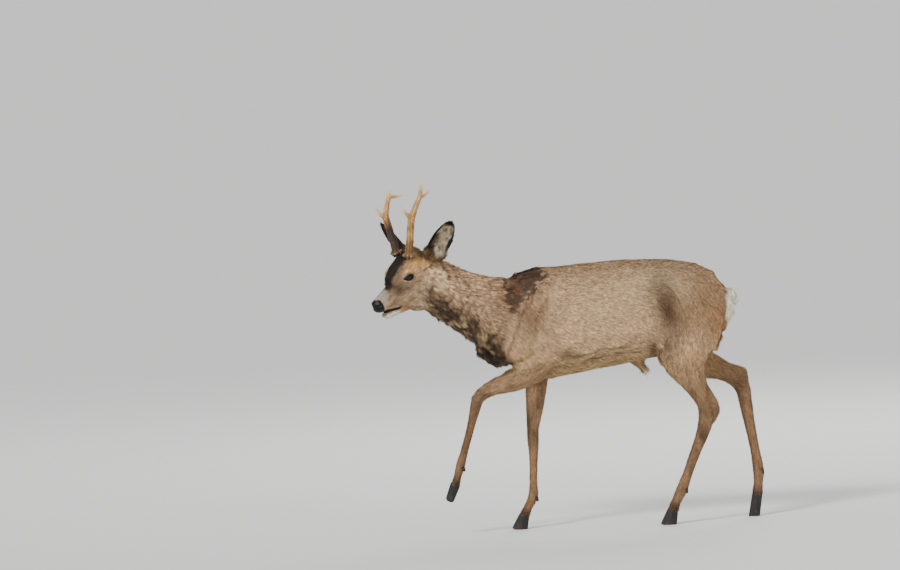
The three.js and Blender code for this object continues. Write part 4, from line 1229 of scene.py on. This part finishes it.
for side, branches in ANTLERS.items():
    parts = ("lower_beam", "upper_beam", "front_tine", "rear_tine")
    nodes = [f"antler_{side}_{part}" for part in parts]
    antler = fused(f"antler_{side}", nodes, ANTLER_VOXEL, GAP_FILL)
    pairs = edge_pairs(antler.data)
    raw = in_head(places(antler.data) - body_zero)
    tips = [np.array(branch[-1], float) for branch in branches.values()]
    to_tip = np.min([np.linalg.norm(raw - tip, axis=1) for tip in tips], axis=0)
    local = smoothed(raw, pairs, 50, (0.25 + 0.75 * rise(to_tip, 6, 24))[:, None])
    away = np.full(len(local), 1e9)
    up_beam, turn = np.zeros(len(local)), np.zeros(len(local))
    for name, branch in branches.items():
        stops = np.array(branch, float)
        steps = np.linalg.norm(np.diff(stops, axis=0), axis=1)
        begin = BRANCH_STARTS[name]
        for k, (start, step) in enumerate(zip(stops, steps)):
            along = (stops[k + 1] - start) / step
            t = np.clip((local - start) @ along, 0, step)
            rel = local - start - t[:, None] * along
            off = np.linalg.norm(rel, axis=1)
            closer = off < away
            away = np.where(closer, off, away)
            up_beam = np.where(closer, begin + steps[:k].sum() + t, up_beam)
            front = unit(np.cross(along, (0, 1, 0)))
            turn = np.where(closer, np.arctan2(rel @ np.cross(along, front), rel @ front), turn)
    put_places(antler.data, local @ head_turn.T + head_zero)
    normals = outward(antler.data) @ head_turn
    wander = grain(local, 26, 41)
    gutters = 0.5 + 0.5 * np.cos(turn * GUTTERS + wander * 7 + up_beam * 0.03)
    rough = fall(up_beam, 60, 165) * 0.85 + 0.15
    rough = rough * rise(to_tip, 10, 34)
    pearl = rise(grain(local * (1, 1, 0.55), 3.0, 42), 0.56, 0.85)
    at_burr = hump(up_beam - 1, 6.5) * rise(away, 9, 13)
    push = -GUTTER_DEPTH * gutters**3 * (0.35 + 0.65 * rough) * rise(to_tip, 12, 40)
    push += PEARL_HEIGHT * pearl * rough**1.5 * (0.3 + 0.7 * (1 - gutters))
    push += (grain(local, 4.2, 43) - 0.45) * BURR_KNOBS * at_burr
    push += (grain(local, 17, 44) - 0.5) * 1.3 * rise(to_tip, 12, 30)
    local = local + normals * push[:, None]
    put_places(antler.data, local @ head_turn.T + head_zero)
    fork, dark_up_to, fades_out, dark = ANTLER_TONES[side]
    # The foot of the beam is darker in its own colour, and on the right antler also by painted
    # shade.
    dark_foot_and_shade = fall(up_beam, dark_up_to, fades_out)
    colour = painted(
        tone("#c2a069"),
        (rise(grain(local * (1, 1, 0.3), 7, 45), 0.42, 0.72) * 0.7, "#8a6b45"),
        (dark_foot_and_shade * dark, "#433222"),
        (rise(up_beam, fork - 50, fork) * 0.5, "#d6ae82"),
        (rise(-to_tip, -30, -5) * 0.8, "#dccb9f"),
        (pearl * rough * 0.2 * (1 - dark_foot_and_shade * 0.8), "#b7966a"),
        # Painted shade along one side of each branch.
        (rise(np.cos(turn - 0.6), 0.1, 0.9) * 0.35 * rise(to_tip, 15, 40), "#5b4229"),
        (gutters**2 * 0.6 * rise(to_tip, 15, 40), "#4a3520"),
        (at_burr * 0.7, "#6b5238"),
        (at_burr * rise(grain(local, 3.5, 46), 0.5, 0.8) * 0.6, "#c2ab88"),
    )
    colour_layer(antler.data, "Tint", colour)
    value_layer(antler.data, "Worn", rise(-to_tip, -40, -6))
    bpy.ops.object.shade_smooth()
    unwrap_outside(antler, 70)
    antler.data.materials.append(antler_bone)
    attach(antler, "root")
    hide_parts(*nodes)


# ---- Hooves and dewclaws ----
# Black horn, ringed across and streaked down, scuffed pale and muddy towards the sole. It caps the
# stub of the leg: two claws to a foot and, above them at the back, two small dewclaws.
HORN_VOXEL = 0.0009
horn, paint = new_paint("hoof_horn")
coords = paint.node("TexCoord", out="Object")
tint_in = paint.layer("Tint")
scuff = paint.node("TexNoise", Vector=coords, Scale=260.0, Detail=5.0)
streak = paint.node("Mapping", Vector=coords, Scale=(900, 900, 60))
streak = paint.node("TexNoise", Vector=streak, Scale=1.0, Detail=2.0)
dusty = streak.shades((0.6, 0.6, 0.6), (0.8, 0.78, 0.72))
paint.shader(
    Base_Color=paint.mix(1.0, tint_in, dusty, "MULTIPLY"),
    Roughness=0.34 + scuff * 0.4,
    Normal=paint.node("Bump", Height=scuff + streak, Strength=0.35, Distance=0.0005),
)
for leg, (top, toe) in FOOT_ENDS.items():
    down = unit(toe - top)
    nodes = [f"{kind}_{leg}_{side}" for kind in ("hoof", "dewclaw") for side in ("outer", "inner")]
    claws = [fused(f"{node}_horn", [node], HORN_VOXEL, 0.0) for node in nodes]
    for claw, node in zip(claws, nodes):
        spots = smoothed(places(claw.data) - body_zero, edge_pairs(claw.data), 26, 0.8)
        is_hoof = "hoof" in node
        if is_hoof:
            # The two claws narrow towards their toes and turn in to each other.
            fore = -(spots[:, 0] - spots[:, 0].max()) / np.ptp(spots[:, 0])
            cleft = spots[:, 1].min() if spots[:, 1].mean() > top[1] else spots[:, 1].max()
            narrow = 1 - 0.5 * rise(fore, 0.4, 1.05)
            spots[:, 1] = cleft + (spots[:, 1] - cleft) * narrow
        else:
            # A dewclaw tapers to its tip and sits close against the pastern.
            middle = spots.mean(0)
            lowness = -(spots[:, 2] - spots[:, 2].max()) / np.ptp(spots[:, 2])
            spots = middle + (spots - middle) * (1.06 - 0.5 * rise(lowness, 0.35, 1.1))[:, None]
            ankle, coronet = (np.array(place, float) for place in LIMBS[leg][2:])
            along = unit(coronet - ankle)
            to_leg = ankle + along * ((middle - ankle) @ along) - middle
            spots += unit(to_leg) * 3.0
        put_places(claw.data, spots + body_zero)
        normals = outward(claw.data)
        low = (spots - top) @ down
        rings = np.sin(low * 1.5 + grain(spots, 9, 51) * 5) * 0.1 - 0.3
        rings = rings - 1.5 * fall(low, 0, 7) * is_hoof
        side_face = 1 - np.abs(normals @ down)
        spots = spots + normals * (rings * rise(side_face, 0.3, 0.7))[:, None]
        spots[:, 2] = np.where(spots[:, 2] < 0.7, 0, spots[:, 2])
        put_places(claw.data, spots + body_zero)
        height = np.linalg.norm(toe - top)
        worn = rise(low, 0.55 * height, height)
        colour = painted(
            tone("#2b2420"),
            (rise(grain(spots * (1, 1, 0.3), 4, 52), 0.5, 0.8) * 0.5, "#4a3f37"),
            (worn * rise(grain(spots, 5, 53), 0.4, 0.8) * 0.5, "#5e5348"),
            (fall(low, 1, 6) * 0.6, "#463b31"),
        )
        colour_layer(claw.data, "Tint", colour)
    bpy.ops.object.select_all(action="DESELECT")
    for claw in claws:
        claw.select_set(True)
    bpy.context.view_layer.objects.active = claws[0]
    bpy.ops.object.join()
    foot = bpy.context.object
    foot.name = f"hooves_{leg}"
    bpy.ops.object.shade_smooth()
    unwrap_outside(foot, 70)
    foot.data.materials.append(horn)
    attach(foot, "root")
    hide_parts(*nodes)
